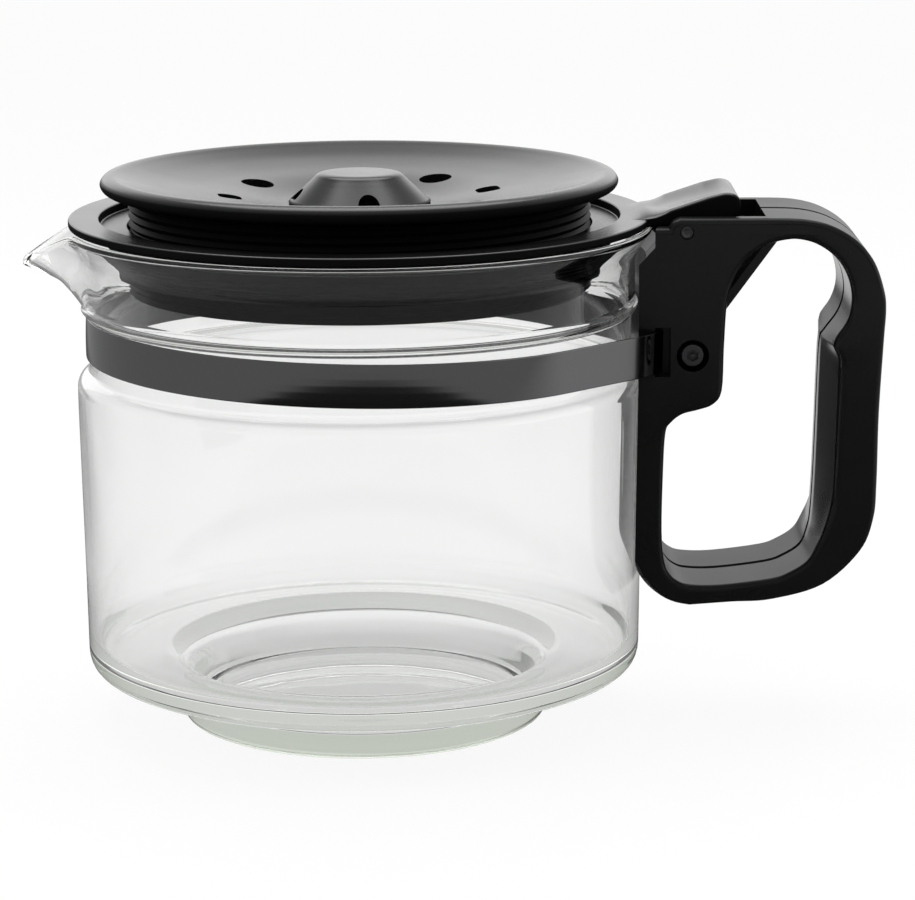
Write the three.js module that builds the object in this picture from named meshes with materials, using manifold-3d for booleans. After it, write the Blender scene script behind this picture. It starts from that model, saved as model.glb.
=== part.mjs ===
import * as THREE from 'three';
import Module from 'manifold-3d';

const wasm = await Module();
wasm.setup();

// Glass jug, millimetres, foot on Z = 0, spout to -X, handle to +X
const BODY_R = 67.9;
const BODY_TAPER = 1.05;
const GLASS_WALL = 1.6;
const FOOT_R = 44.5;
const FOOT_H = 12.7;
const FOOT_EDGE = 1.0;
const WELL_FLOOR = 4.8;
const WELL_WALL = 4.0;
const FLOOR_THICK = 3.8;
const BASE_CORNER = 4.3;
const SHOULDER_Z = 83.0;
const SHOULDER_DROP = 2.4;
const GROOVE_DEPTH = 3.1;
const GROOVE_H = 14.4;
const BEAD_H = 2.3;
const BEAD_OUT = 1.6;
const NECK_STEP = 0.8;
const NECK_H = 10.3;
const RIM_FLARE = 4.0;
const RIM_H = 7.7;
const SPOUT_REACH = 11.5;
const SPOUT_DROP = 8.2;
const SPOUT_HALF_ANGLE = 25;

// Steel band in the groove
const BAND_H = 10.0;
const BAND_T = 0.6;
const BAND_GAP = 0.25;
const BAND_TOP_GAP = 0.3;
const BAND_TILT = 1.2;
const HOOK_IN = 2.1;
const HOOK_DEPTH = 2.4;
const HOOK_SLOT_W = 3.7;
const HOOK_SIDE_GAP = 0.4;
const HOOK_SLOT_CLEAR = 0.9;

// Handle, two shells that meet at Y = 0
const HANDLE_W = 37.0;
const HANDLE_GAP = 0.3;
const SEAM = 0.3;
const EDGE = 0.7;
const PLATE = 3.0;
const HANDLE_REACH = 55.6;
const GRIP_T = 14.5;
const GRIP_FLAT = 8.0;
const GRIP_ROUND = 3.2;
const LEG_T = 3.5;
const BAR_Z = 30.1;
const BAR_T = 5.0;
const ARCH_T = 5.0;
const CHEEK_RISE = 3.2;
const CHEEK_H = 45.2;
const CHEEK_REACH = 17.6;
const SHELL_WALL = 2.6;
const WEB_T = 2.0;
const SLOT_W = 28.4;
const SLOT_LENGTH = 18.7;

// Clamp screw and nut
const SCREW_R = 1.5;
const SCREW_HEAD_R = 2.6;
const SCREW_HEAD_T = 1.9;
const SCREW_SINK = 0.4;
const SCREW_BOSS_R = 5.0;
const SCREW_DOWN = 32.4;
const SCREW_IN = 10.2;
const NUT_FLATS = 5.5;
const NUT_T = 2.4;
const SCREW_GAP = 0.2;

// Lid hinge
const PIN_R = 1.55;
const PIN_PLAY = 0.08;
const PIN_OUT = 7.2;
const PIN_DROP = 0.1;
const KNUCKLE_R = 3.6;
const LEVER_W = 27.0;
const LEVER_EDGE = 0.9;
const LEVER_LENGTH = 13.2;
const LEVER_RISE = 8.7;
const THUMB_HOLLOW = 1.4;

// Lid ring
const RING_INSET = 0.4;
const RING_GAP = 0.35;
const RING_T = 1.95;
const RING_EDGE = 0.6;
const TROUGH_DEPTH = 2.0;
const SKIRT_GAP = 2.4;
const SKIRT_DEPTH = 10.45;
const SKIRT_TAPER = 4.4;
const RING_WALL = 6.3;

// Threaded sleeve, dish and knob
const THREAD_GAP = 0.3;
const THREAD_LEAD = 2.0;
const THREAD_H = 0.8;
const SLEEVE_WALL = 2.0;
const SLEEVE_BELOW = 5.0;
const SLEEVE_SHOWN = 6.7;
const DISH_OVERHANG = 6.5;
const DISH_RIM_H = 5.0;
const DISH_DEPTH = 7.5;
const DISH_T = 2.2;
const DISH_GAP = 0.5;
const SEAT_GAP = 0.3;
const SPIGOT_T = 2.0;
const SPIGOT_H = 4.2;
const VENT_R = 4.0;
const VENT_RING_R = 31.0;
const VENT_SLOT_W = 5.6;
const VENT_SLOT_L = 7.2;
const DISH_TURN = 9.7;
const KNOB_BASE_R = 17.0;
const KNOB_TOP_R = 10.6;
const KNOB_H = 7.0;
const KNOB_WALL = 1.5;
const KNOB_FLANGE = 0.8;
const KNOB_COLLAR_R = 14.4;
const KNOB_COLLAR_H = 3.6;
const KNOB_ARCH_R = 2.6;

// Facets around the jug, closer at the spout, and around the lid and small round pieces
const JUG_FACETS = 60;
const SPOUT_CROWDING = 0.5;
const LID_FACETS = 40;
const SMALL_FACETS = 24;

// Radii and heights that follow from the sizes above
const bodyBaseR = BODY_R - BODY_TAPER;
const grooveR = BODY_R - GROOVE_DEPTH;
const beadR = grooveR + BEAD_OUT;
const neckR = grooveR + NECK_STEP;
const rimR = neckR + RIM_FLARE;
const neckInR = neckR - GLASS_WALL;
const grooveZ = SHOULDER_Z + SHOULDER_DROP;
const beadZ = grooveZ + GROOVE_H;
const neckZ = beadZ + BEAD_H;
const flareZ = neckZ + NECK_H;
const rimZ = flareZ + RIM_H;
const handleFace = BODY_R + HANDLE_GAP;
const pinX = rimR + PIN_OUT;
const pinZ = rimZ - PIN_DROP;
const halfW = HANDLE_W / 2;
const ringZ = rimZ + RING_GAP;
const ringTop = ringZ + RING_T;
const troughZ = ringTop - TROUGH_DEPTH;
const skirtR = neckInR - SKIRT_GAP;
const boreR = skirtR - RING_WALL;
const sleeveR = boreR - THREAD_GAP;
const sleeveInR = sleeveR - THREAD_H - SLEEVE_WALL;
const skirtZ = ringZ - SKIRT_DEPTH;
const sleeveZ = skirtZ - SLEEVE_BELOW;
const sleeveTop = troughZ + SLEEVE_SHOWN;
const dishR = sleeveR + DISH_OVERHANG;
const troughR = dishR + DISH_GAP;
const dishZ = sleeveTop + SEAT_GAP;
const dishTop = dishZ + DISH_RIM_H;
const dishFloor = dishTop - DISH_DEPTH;
const screwX = handleFace + SCREW_IN;
const cheekTop = pinZ + CHEEK_RISE;
const screwZ = cheekTop - SCREW_DOWN;

// Solids
function solid(geometry) {
  const position = geometry.getAttribute('position');
  const index = geometry.index;
  const total = index ? index.count : position.count;
  const seen = new Map();
  const points = [];
  const corners = [];
  for (let i = 0; i < total; i += 1) {
    const k = index ? index.getX(i) : i;
    const p = [position.getX(k), position.getY(k), position.getZ(k)];
    const key = p.map((v) => Math.round(v * 20000)).join(' ');
    if (!seen.has(key)) {
      seen.set(key, seen.size);
      points.push(...p);
    }
    corners.push(seen.get(key));
  }
  const faces = [];
  let volume = 0;
  for (let i = 0; i < total; i += 3) {
    const [a, b, c] = corners.slice(i, i + 3);
    if (a !== b && b !== c && c !== a) {
      faces.push(a, b, c);
      const [p, q, r] = [a, b, c].map((n) => new THREE.Vector3().fromArray(points, n * 3));
      volume += p.dot(q.cross(r));
    }
  }
  if (volume < 0) {
    faces.reverse();
  }
  const mesh = new wasm.Mesh({
    numProp: 3,
    vertProperties: Float32Array.from(points),
    triVerts: Uint32Array.from(faces),
  });
  return new wasm.Manifold(mesh);
}

// A closed loop of [radius, height] points turned about an axis
function turned(loop, facets, place) {
  const points = [];
  const faces = [];
  const n = loop.length;
  for (let i = 0; i < facets; i += 1) {
    const a = (2 * Math.PI * i) / facets;
    loop.forEach(([r, h], j) => points.push(...place(r, h, a, j)));
  }
  for (let i = 0; i < facets; i += 1) {
    const next = (i + 1) % facets;
    for (let j = 0; j < n; j += 1) {
      const k = (j + 1) % n;
      faces.push(i * n + j, next * n + j, next * n + k);
      faces.push(i * n + j, next * n + k, i * n + k);
    }
  }
  const geometry = new THREE.BufferGeometry();
  geometry.setAttribute('position', new THREE.Float32BufferAttribute(points, 3));
  geometry.setIndex(faces);
  return solid(geometry);
}

function aboutZ(loop, facets) {
  return turned(loop, facets, (r, h, a) => [r * Math.cos(a), r * Math.sin(a), h]);
}

function rodY(radius, y0, y1, x, z, facets) {
  const loop = [[0, y0], [radius, y0], [radius, y1], [0, y1]];
  const turn = Math.PI / facets;
  return turned(loop, facets, (r, h, a) => [x + r * Math.cos(a + turn), h, z + r * Math.sin(a + turn)]);
}

// A flat outline in X and Z given depth along Y
function slab(outline, y0, y1, bevel, hole) {
  const shape = new THREE.Shape(outline.map(([x, z]) => new THREE.Vector2(x, z)));
  if (hole) {
    shape.holes.push(new THREE.Path(hole.map(([x, z]) => new THREE.Vector2(x, z))));
  }
  const geometry = new THREE.ExtrudeGeometry(shape, {
    depth: y1 - y0 - 2 * bevel,
    steps: 1,
    bevelEnabled: bevel > 0,
    bevelThickness: bevel,
    bevelSize: bevel,
    bevelOffset: -bevel,
    bevelSegments: 1,
  });
  geometry.rotateX(Math.PI / 2);
  geometry.translate(0, y1 - bevel, 0);
  return solid(geometry);
}

// A flat outline in X and Y given height along Z
function prism(outline, z0, z1) {
  const shape = new THREE.Shape(outline.map(([x, y]) => new THREE.Vector2(x, y)));
  const geometry = new THREE.ExtrudeGeometry(shape, { depth: z1 - z0, steps: 1, bevelEnabled: false });
  geometry.translate(0, 0, z0);
  return solid(geometry);
}

function box(x0, x1, y0, y1, z0, z1) {
  const geometry = new THREE.BoxGeometry(x1 - x0, y1 - y0, z1 - z0);
  geometry.translate((x0 + x1) / 2, (y0 + y1) / 2, (z0 + z1) / 2);
  return solid(geometry);
}

// The room between two sheets given as X over Y and Z
function between(ys, zs, low, high) {
  const points = [];
  const faces = [];
  const n = ys.length;
  const sheet = n * zs.length;
  const quad = (a, b, c, d) => faces.push(a, b, c, a, c, d);
  [low, high].forEach((side) => zs.forEach((z) => ys.forEach((y) => points.push(side(y, z), y, z))));
  for (let k = 0; k < zs.length - 1; k += 1) {
    const first = k * n;
    const last = first + n - 1;
    for (let a = first; a < last; a += 1) {
      quad(a, a + 1, a + n + 1, a + n);
      quad(sheet + a, sheet + a + n, sheet + a + n + 1, sheet + a + 1);
    }
    quad(first, first + n, sheet + first + n, sheet + first);
    quad(last, sheet + last, sheet + last + n, last + n);
  }
  const top = sheet - n;
  for (let j = 0; j < n - 1; j += 1) {
    quad(j, sheet + j, sheet + j + 1, j + 1);
    quad(top + j + 1, sheet + top + j + 1, sheet + top + j, top + j);
  }
  const geometry = new THREE.BufferGeometry();
  geometry.setAttribute('position', new THREE.Float32BufferAttribute(points, 3));
  geometry.setIndex(faces);
  return solid(geometry);
}

function smooth(points, count) {
  const curve = new THREE.SplineCurve(points.map(([x, z]) => new THREE.Vector2(x, z)));
  return curve.getPoints(count).map((p) => [p.x, p.y]);
}

function arc(x, z, radius, from, to, count) {
  return Array.from({ length: count + 1 }, (_, i) => {
    const a = THREE.MathUtils.degToRad(from + ((to - from) * i) / count);
    return [x + radius * Math.cos(a), z + radius * Math.sin(a)];
  });
}

const group = new THREE.Group();
group.name = 'coffee_carafe';

function piece(name, manifold, color, roughness, metalness, opacity = 1) {
  const { vertProperties, triVerts } = manifold.getMesh();
  const geometry = new THREE.BufferGeometry();
  geometry.setAttribute('position', new THREE.Float32BufferAttribute(vertProperties, 3));
  geometry.setIndex(Array.from(triVerts));
  geometry.computeVertexNormals();
  const material = new THREE.MeshStandardMaterial({ color, roughness, metalness });
  material.opacity = opacity;
  material.transparent = opacity < 1;
  const mesh = new THREE.Mesh(geometry, material);
  mesh.name = name;
  group.add(mesh);
}

// Glass jug: outside from the foot up to the rim, then the inside down to the well
const wellR = FOOT_R - WELL_WALL;
const floorZ = FOOT_H + FLOOR_THICK;
const rimRound = GLASS_WALL * 0.6;
const cornerX = bodyBaseR - BASE_CORNER;
const cornerZ = FOOT_H + BASE_CORNER;
const innerCorner = BASE_CORNER * 0.7;
const innerX = bodyBaseR - GLASS_WALL - innerCorner;
const jugLoop = [
  [0, 0],
  [FOOT_R - FOOT_EDGE, 0],
  [FOOT_R, FOOT_EDGE],
  [FOOT_R - 0.5, FOOT_H - 1.5],
  [FOOT_R + 1.2, FOOT_H],
  ...arc(cornerX, cornerZ, BASE_CORNER, -90, 0, 3),
  [BODY_R, SHOULDER_Z - 1],
  [BODY_R - 0.4, SHOULDER_Z + 0.3],
  [grooveR + 0.3, grooveZ - 0.5],
  [grooveR, grooveZ],
  [grooveR, beadZ],
  [beadR, beadZ + BEAD_H * 0.3],
  [beadR, beadZ + BEAD_H * 0.7],
  [neckR, neckZ],
  [neckR, neckZ + NECK_H / 2],
  [neckR, flareZ],
  [neckR + RIM_FLARE * 0.35, flareZ + RIM_H * 0.4],
  [rimR - RIM_FLARE * 0.15, rimZ - rimRound * 1.6],
  [rimR, rimZ - rimRound],
  [rimR - rimRound * 0.4, rimZ - rimRound * 0.2],
  [rimR - rimRound, rimZ],
  [rimR - rimRound * 1.7, rimZ - rimRound * 0.3],
  [neckInR + RIM_FLARE * 0.35, flareZ + RIM_H * 0.55],
  [neckInR, flareZ + RIM_H * 0.1],
  [neckInR, neckZ + NECK_H / 2],
  [neckInR, neckZ],
  [grooveR - GLASS_WALL, beadZ],
  [grooveR - GLASS_WALL, grooveZ],
  [BODY_R - GLASS_WALL, SHOULDER_Z - 1.5],
  ...arc(innerX, floorZ + innerCorner, innerCorner, 0, -90, 2),
  [wellR + 6, floorZ],
  [wellR + 2.4, floorZ - 1.0],
  [wellR + 0.6, floorZ - 3.6],
  [wellR - 0.9, WELL_FLOOR + 2.2],
  [wellR - 3, WELL_FLOOR],
  [0, WELL_FLOOR],
];

// The spout is the neck drawn out and down over a sector that faces -X, narrowest at the lip
const spoutTop = rimZ - neckZ + BEAD_H;
function jugPoint(r, z, turn) {
  const a = turn + SPOUT_CROWDING * Math.sin(turn);
  const off = Math.abs(Math.PI - a) / THREE.MathUtils.degToRad(SPOUT_HALF_ANGLE);
  const lip = Math.max(0, (z - beadZ) / spoutTop);
  const side = off < 1 ? Math.cos((off * Math.PI) / 2) ** 2 : 0;
  const beak = side ** (1.2 + 1.9 * lip);
  const out = SPOUT_REACH * beak * lip ** 1.25;
  const down = SPOUT_DROP * beak * lip ** 0.8;
  return [(r + out) * Math.cos(a), (r + out) * Math.sin(a), z - down];
}
piece('glass_jug', turned(jugLoop, JUG_FACETS, jugPoint), 0xdfe8e6, 0.05, 0, 0.35);

// Neck band: a strip bent round the groove, its ends drawn straight into the slots of the cheeks
const bandMidR = grooveR + BAND_GAP + BAND_T / 2;
const hookX = handleFace + HOOK_IN;
const leave = Math.atan2(halfW, hookX) + Math.acos(bandMidR / Math.hypot(hookX, halfW));
const stripX = Math.sin(leave);
const stripY = Math.cos(leave);
const tiltShare = Math.sin(THREE.MathUtils.degToRad(BAND_TILT));
const bandTop = beadZ - BAND_TOP_GAP - bandMidR * tiltShare;
const bandLow = bandTop - BAND_H;
function bandPath(offset) {
  const leaveX = bandMidR * Math.cos(leave);
  const leaveY = bandMidR * Math.sin(leave);
  const run = 3.0;
  const path = [];
  path.push([hookX + (HOOK_DEPTH * stripX) / stripY, -halfW + HOOK_DEPTH]);
  path.push([leaveX + run * stripX, -leaveY + run * stripY]);
  path.push([leaveX, -leaveY]);
  const otherEnd = path.map(([x, y]) => [x, -y]).reverse();
  const sweep = 2 * Math.PI - 2 * leave;
  const steps = 64;
  for (let i = 1; i < steps; i += 1) {
    const a = -leave - (sweep * i) / steps;
    path.push([bandMidR * Math.cos(a), bandMidR * Math.sin(a)]);
  }
  path.push(...otherEnd);
  return path.map(([x, y], i) => {
    const [ax, ay] = path[Math.max(0, i - 1)];
    const [bx, by] = path[Math.min(path.length - 1, i + 1)];
    const span = Math.hypot(bx - ax, by - ay);
    return [x - ((by - ay) / span) * offset, y + ((bx - ax) / span) * offset];
  });
}
const bandOutline = [...bandPath(BAND_T / 2), ...bandPath(-BAND_T / 2).reverse()];
const bandMidZ = (bandTop + bandLow) / 2;
const band = prism(bandOutline, bandLow, bandTop)
  .translate([0, 0, -bandMidZ])
  .rotate([0, BAND_TILT, 0])
  .translate([0, 0, bandMidZ]);
piece('neck_band', band, 0x2b2c2f, 0.4, 0.6);

// Handle outline, finger opening and cavities, in X and Z
const left = handleFace - 8;
const right = handleFace + HANDLE_REACH;
const legX = handleFace + LEG_T;
const gripX = right - GRIP_T;
const cheekX = handleFace + CHEEK_REACH;
const cheekLow = cheekTop - CHEEK_H;
const archZ = cheekTop - ARCH_T;
const barTop = BAR_Z + BAR_T;
const outerCurve = smooth([
  [handleFace + 10, BAR_Z],
  [handleFace + 20, BAR_Z + 0.7],
  [right - 26, BAR_Z + 1.3],
  [right - 13.8, BAR_Z + 4.9],
  [right - 5.1, BAR_Z + 13],
  [right - 2.0, BAR_Z + 21],
  [right - 1.4, BAR_Z + 30],
  [right - 1.2, (BAR_Z + cheekTop) / 2],
  [right - 0.4, cheekTop - 29.5],
  [right, cheekTop - 21.7],
  [right - 0.6, cheekTop - 17.0],
  [right - 2.9, cheekTop - 10.6],
  [right - 6.9, cheekTop - 5.6],
  [right - 12.7, cheekTop - 2.0],
  [right - 19.5, cheekTop - 0.3],
  [right - 28.5, cheekTop],
], 45);
const handleOutline = [
  [left, BAR_Z + 13],
  [handleFace - 3.5, BAR_Z + 10.3],
  [handleFace - 2.2, BAR_Z + 7.8],
  [handleFace + 0.1, BAR_Z + 4.8],
  [handleFace + 3.3, BAR_Z + 2.2],
  [handleFace + 6.5, BAR_Z + 0.7],
  ...outerCurve,
  [pinX - 1.4, cheekTop],
  [pinX - 3.0, cheekTop - 0.7],
  [pinX - 4.2, cheekTop - 2.3],
  [left, cheekTop - 2.3],
];
const openW = gripX - cheekX;
const lowW = gripX - legX;
const fingerOpening = smooth([
  [cheekX + 0.4, cheekTop - 22.4],
  [cheekX, cheekTop - 31],
  [cheekX - 0.4, cheekLow + 4.2],
  [cheekX - 2.5, cheekLow + 0.9],
  [cheekX - 6, cheekLow - 0.4],
  [legX + 4.4, cheekLow - 1.4],
  [legX + 1.8, cheekLow - 3.4],
  [legX + 0.5, cheekLow - 6],
  [legX, cheekLow - 16],
  [legX - 0.2, barTop + 13],
  [legX + 0.5, barTop + 5.6],
  [legX + 1.7, barTop + 2.8],
  [legX + 3.6, barTop + 1.0],
  [legX + 6.6, barTop],
  [legX + lowW * 0.37, barTop - 0.1],
  [gripX - lowW * 0.31, barTop + 1.4],
  [gripX - lowW * 0.19, barTop + 3.0],
  [gripX - 3.2, barTop + 5.7],
  [gripX - 1.6, barTop + 9.7],
  [gripX - 0.9, barTop + 13.5],
  [gripX - 0.4, barTop + 22],
  [gripX, cheekTop - 52.7],
  [gripX + 0.3, cheekTop - 40.4],
  [gripX + 0.7, cheekTop - 31.7],
  [gripX + 1.8, cheekTop - 29.4],
  [gripX + 5.0, cheekTop - 24.9],
  [gripX + 6.3, cheekTop - 20.2],
  [gripX + 5.8, cheekTop - 15.5],
  [gripX + 4.0, cheekTop - 11.4],
  [gripX + 1.4, cheekTop - 8.4],
  [gripX - openW * 0.085, archZ - 1.2],
  [gripX - openW * 0.22, archZ - 0.2],
  [gripX - openW * 0.35, archZ],
  [cheekX + openW * 0.46, archZ - 0.9],
  [cheekX + openW * 0.33, archZ - 2.6],
  [cheekX + openW * 0.2, archZ - 5.1],
  [cheekX + openW * 0.09, archZ - 9.6],
  [cheekX + 0.9, archZ - 13.4],
  [cheekX + 0.4, cheekTop - 22.4],
], 70).slice(0, -1);

// The web closes the lever's pocket towards the fingers
const webLow = [cheekX + 0.4, archZ - 17.0];
const webHigh = [pinX + SLOT_LENGTH + 3.4, archZ + 0.4];
const webSpan = Math.hypot(webHigh[0] - webLow[0], webHigh[1] - webLow[1]);
const webIn = [
  (-(webHigh[1] - webLow[1]) / webSpan) * WEB_T,
  ((webHigh[0] - webLow[0]) / webSpan) * WEB_T,
];
const webOutline = [
  webLow,
  webHigh,
  [webHigh[0] + webIn[0], webHigh[1] + webIn[1]],
  [webLow[0] + webIn[0], webLow[1] + webIn[1]],
  [webLow[0] - 2.0, webLow[1] - 0.4],
];
const slotLow = pinZ - 4.0;
const slotX0 = hookX - BAND_T / 2 / stripY - HOOK_SIDE_GAP;
const slotX1 = slotX0 + HOOK_SLOT_W;
const cheekHollow = [
  [slotX1 + 1.6, cheekLow + 2.6],
  [cheekX - SHELL_WALL - 3.4, cheekLow + 3.6],
  [cheekX - SHELL_WALL - 0.4, cheekLow + 6],
  [cheekX - SHELL_WALL, webLow[1] + webIn[1] - 1.0],
  [webLow[0] + webIn[0], webLow[1] + webIn[1]],
  [webHigh[0] + webIn[0] - 3.4, webHigh[1] + webIn[1] - 4.6],
  [pinX + SLOT_LENGTH - 4.0, slotLow + 0.1],
  [pinX - 2.6, slotLow + 0.1],
  [pinX - 3.0, flareZ],
  [slotX1 + 1.6, flareZ - 12],
];
const gripHollow = smooth([
  [gripX + SHELL_WALL + 1.0, barTop + 19],
  [gripX + SHELL_WALL + 1.5, barTop + 28],
  [gripX + SHELL_WALL + 1.8, cheekTop - 52.7],
  [gripX + SHELL_WALL + 2.1, cheekTop - 40.7],
  [gripX + SHELL_WALL + 3.3, cheekTop - 33],
  [right - SHELL_WALL - 2.6, cheekTop - 31],
  [right - SHELL_WALL - 1.0, cheekTop - 34],
  [right - SHELL_WALL - 1.4, (BAR_Z + cheekTop) / 2],
  [right - SHELL_WALL - 1.6, BAR_Z + 30],
  [right - SHELL_WALL - 2.6, BAR_Z + 24],
  [right - SHELL_WALL - 5.5, BAR_Z + 21],
  [gripX + SHELL_WALL + 1.0, barTop + 19],
], 24).slice(0, -1);

// The grip's inner edges are rounded off towards both side faces, less so at the grip's two ends
function gripInner(z) {
  const side = fingerOpening.filter(([x]) => x > gripX - 3);
  const k = side.findIndex(([, high], i) => i > 0 && high >= z);
  const [xa, za] = side[k - 1];
  const [xb, zb] = side[k];
  return xa + ((xb - xa) * (z - za)) / (zb - za);
}
const roundLow = barTop + 7;
const roundHigh = cheekTop - 27.5;
function roundDepth(y, z) {
  const fade = THREE.MathUtils.smoothstep(z, roundLow, roundLow + 16)
    * (1 - THREE.MathUtils.smoothstep(z, roundHigh - 7, roundHigh));
  const share = (Math.abs(y) - GRIP_FLAT) / (halfW - GRIP_FLAT);
  const held = Math.min(Math.max(share, 0), 1);
  return GRIP_ROUND * fade * (0.5 * held + 0.5 * (1 - Math.sqrt(1 - held * held)));
}
function gripRounding(front) {
  const side = front ? -1 : 1;
  const ys = [-0.1, 0, 0.1, 0.3, 0.5, 0.7, 0.85, 0.95, 1, 1.1].map((t) => side * (GRIP_FLAT + t * (halfW - GRIP_FLAT)));
  const zs = Array.from({ length: 19 }, (_, i) => roundLow + ((roundHigh - roundLow) * i) / 18);
  return between(ys, zs, (y, z) => gripInner(z) - 2, (y, z) => gripInner(z) - 0.04 + roundDepth(y, z));
}

// The jug, seen by the handle as a plain round with room for the rim
const jugSide = [
  [0, BAR_Z - 5],
  [handleFace - BODY_TAPER * 0.7, BAR_Z - 5],
  [handleFace, SHOULDER_Z],
  [handleFace, flareZ],
  [rimR + 2.2, rimZ - 3.6],
  [rimR + 2.2, cheekTop + 5],
  [0, cheekTop + 5],
];
const jugRoom = aboutZ(jugSide, JUG_FACETS);
const headRecess = SCREW_HEAD_R + 0.5;
const nutSeat = halfW - SCREW_SINK - NUT_T - SCREW_GAP;
const nutCornerR = NUT_FLATS / Math.sqrt(3);
const hookDrop = hookX * tiltShare;
const slotZ0 = bandLow - hookDrop - HOOK_SLOT_CLEAR;
const slotZ1 = bandTop - hookDrop + HOOK_SLOT_CLEAR;

function handleHalf(front) {
  const y0 = front ? -halfW : SEAM / 2;
  const y1 = front ? -SEAM / 2 : halfW;
  const inner0 = front ? -halfW + PLATE : -1;
  const inner1 = front ? 1 : halfW - PLATE;
  const web0 = front ? -halfW + PLATE - 0.2 : SEAM / 2;
  const web1 = front ? -SEAM / 2 : halfW - PLATE + 0.2;
  const slotY = SLOT_W / 2;
  const grip0 = front ? inner0 + 3 : inner0;
  const grip1 = front ? inner1 : inner1 - 3;
  let half = slab(handleOutline, y0, y1, EDGE, fingerOpening)
    .subtract(slab(cheekHollow, inner0, inner1, 0))
    .subtract(slab(gripHollow, grip0, grip1, 0))
    .subtract(box(left - 5, pinX + SLOT_LENGTH, -slotY, slotY, slotLow, cheekTop + 8))
    .add(rodY(SCREW_BOSS_R, web0, web1, screwX, screwZ, SMALL_FACETS))
    .add(slab(webOutline, web0, web1, 0))
    .subtract(gripRounding(front))
    .subtract(jugRoom)
    .subtract(rodY(SCREW_R + SCREW_GAP, -halfW - 1, halfW + 1, screwX, screwZ, SMALL_FACETS))
    .subtract(rodY(PIN_R + PIN_PLAY, -halfW - 1, halfW + 1, pinX, pinZ, SMALL_FACETS));
  const side = front ? -1 : 1;
  const slotA = Math.min(side * (halfW - PLATE - 1), side * (halfW + 1));
  const slotB = Math.max(side * (halfW - PLATE - 1), side * (halfW + 1));
  half = half.subtract(box(slotX0, slotX1, slotA, slotB, slotZ0, slotZ1));
  if (front) {
    const depth = SCREW_HEAD_T + SCREW_SINK + SCREW_GAP;
    half = half.subtract(rodY(headRecess, -halfW - 1, -halfW + depth, screwX, screwZ, SMALL_FACETS));
  } else {
    half = half.subtract(rodY(nutCornerR + SCREW_GAP, nutSeat, halfW + 1, screwX, screwZ, 6));
  }
  return half;
}
piece('handle_front_half', handleHalf(true), 0x151516, 0.45, 0);
piece('handle_rear_half', handleHalf(false), 0x151516, 0.45, 0);

// Clamp screw with a six-sided socket and a pin in its middle, and its nut
const headOut = -halfW + SCREW_SINK;
const headIn = headOut + SCREW_HEAD_T;
const screwEnd = nutSeat + SCREW_GAP + NUT_T - 0.2;
const socketLoop = [
  [0.45, headOut - 1],
  [1.5, headOut - 1],
  [1.5, headOut + 1.1],
  [0.45, headOut + 1.1],
];
const socket = turned(socketLoop, 6, (r, h, a) => [screwX + r * Math.cos(a), h, screwZ + r * Math.sin(a)]);
const screw = rodY(SCREW_HEAD_R, headOut, headIn, screwX, screwZ, SMALL_FACETS)
  .add(rodY(SCREW_R, headOut + 1.4, screwEnd, screwX, screwZ, SMALL_FACETS))
  .subtract(socket);
piece('clamp_screw', screw, 0x1c1c1e, 0.4, 0.7);
const nut = rodY(nutCornerR, nutSeat + SCREW_GAP, nutSeat + SCREW_GAP + NUT_T, screwX, screwZ, 6)
  .subtract(rodY(SCREW_R + 0.05, 0, halfW + 1, screwX, screwZ, SMALL_FACETS));
piece('clamp_nut', nut, 0x8d8f92, 0.35, 0.9);

// Hinge pin
piece('hinge_pin', rodY(PIN_R, -halfW + 0.2, halfW - 0.2, pinX, pinZ, SMALL_FACETS), 0x3a3a3d, 0.3, 0.9);

// Lid ring: skirt and threaded bore, trough, flat rim, knuckle and thumb lever
const ringR = rimR - RING_INSET;
const ringLoop = [
  [boreR, skirtZ],
  [skirtR - SKIRT_TAPER, skirtZ],
  [skirtR - 0.6, ringZ - 2.4],
  [skirtR, ringZ - 1.4],
  [skirtR + 2.0, ringZ],
  [ringR - RING_EDGE, ringZ],
  [ringR, ringZ + RING_EDGE],
  [ringR, ringTop - RING_EDGE],
  [ringR - RING_EDGE, ringTop],
  [troughR + RING_EDGE, ringTop],
  [troughR, ringTop - RING_EDGE],
  [troughR - 0.3, troughZ],
  [boreR + RING_EDGE, troughZ],
  [boreR, troughZ - RING_EDGE],
];
const leverTop = pinZ + LEVER_RISE;
const leverEnd = pinX + LEVER_LENGTH;
const leverOutline = [
  [troughR + 1.6, ringZ],
  [pinX - KNUCKLE_R, ringZ],
  ...arc(pinX, pinZ, KNUCKLE_R, 180, 330, 8),
  [leverEnd - 1.3, leverTop - 5.6],
  [leverEnd - 0.2, leverTop - 4.2],
  [leverEnd, leverTop - 3.0],
  [leverEnd - 0.5, leverTop - 1.5],
  [leverEnd - 1.6, leverTop - 0.5],
  [leverEnd - 3.2, leverTop],
  [leverEnd - 5.0, leverTop - 0.3],
  [pinX - 9.5, ringTop + 1.6],
  [troughR + 3.6, ringTop + 0.5],
  [troughR + 1.6, ringTop],
];
const hollowHalfW = LEVER_W / 2 - 1.6;
const hollowR = (hollowHalfW ** 2 + THUMB_HOLLOW ** 2) / (2 * THUMB_HOLLOW);
const leverSlope = Math.atan2(leverTop - 0.3 - ringTop - 1.6, leverEnd - 5.0 - pinX + 9.5);
const hollowAngle = THREE.MathUtils.radToDeg(Math.asin(hollowHalfW / hollowR));
const hollowOutline = arc(0, hollowR - THUMB_HOLLOW, hollowR, -90 - hollowAngle, -90 + hollowAngle, 10)
  .concat([[hollowHalfW, 4], [-hollowHalfW, 4]]);
const hollowLength = (leverEnd - 3.6 - pinX + 9.5) / Math.cos(leverSlope);
const hollowGeometry = new THREE.ExtrudeGeometry(
  new THREE.Shape(hollowOutline.map(([y, z]) => new THREE.Vector2(y, z))),
  { depth: hollowLength, steps: 1, bevelEnabled: false },
);
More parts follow.
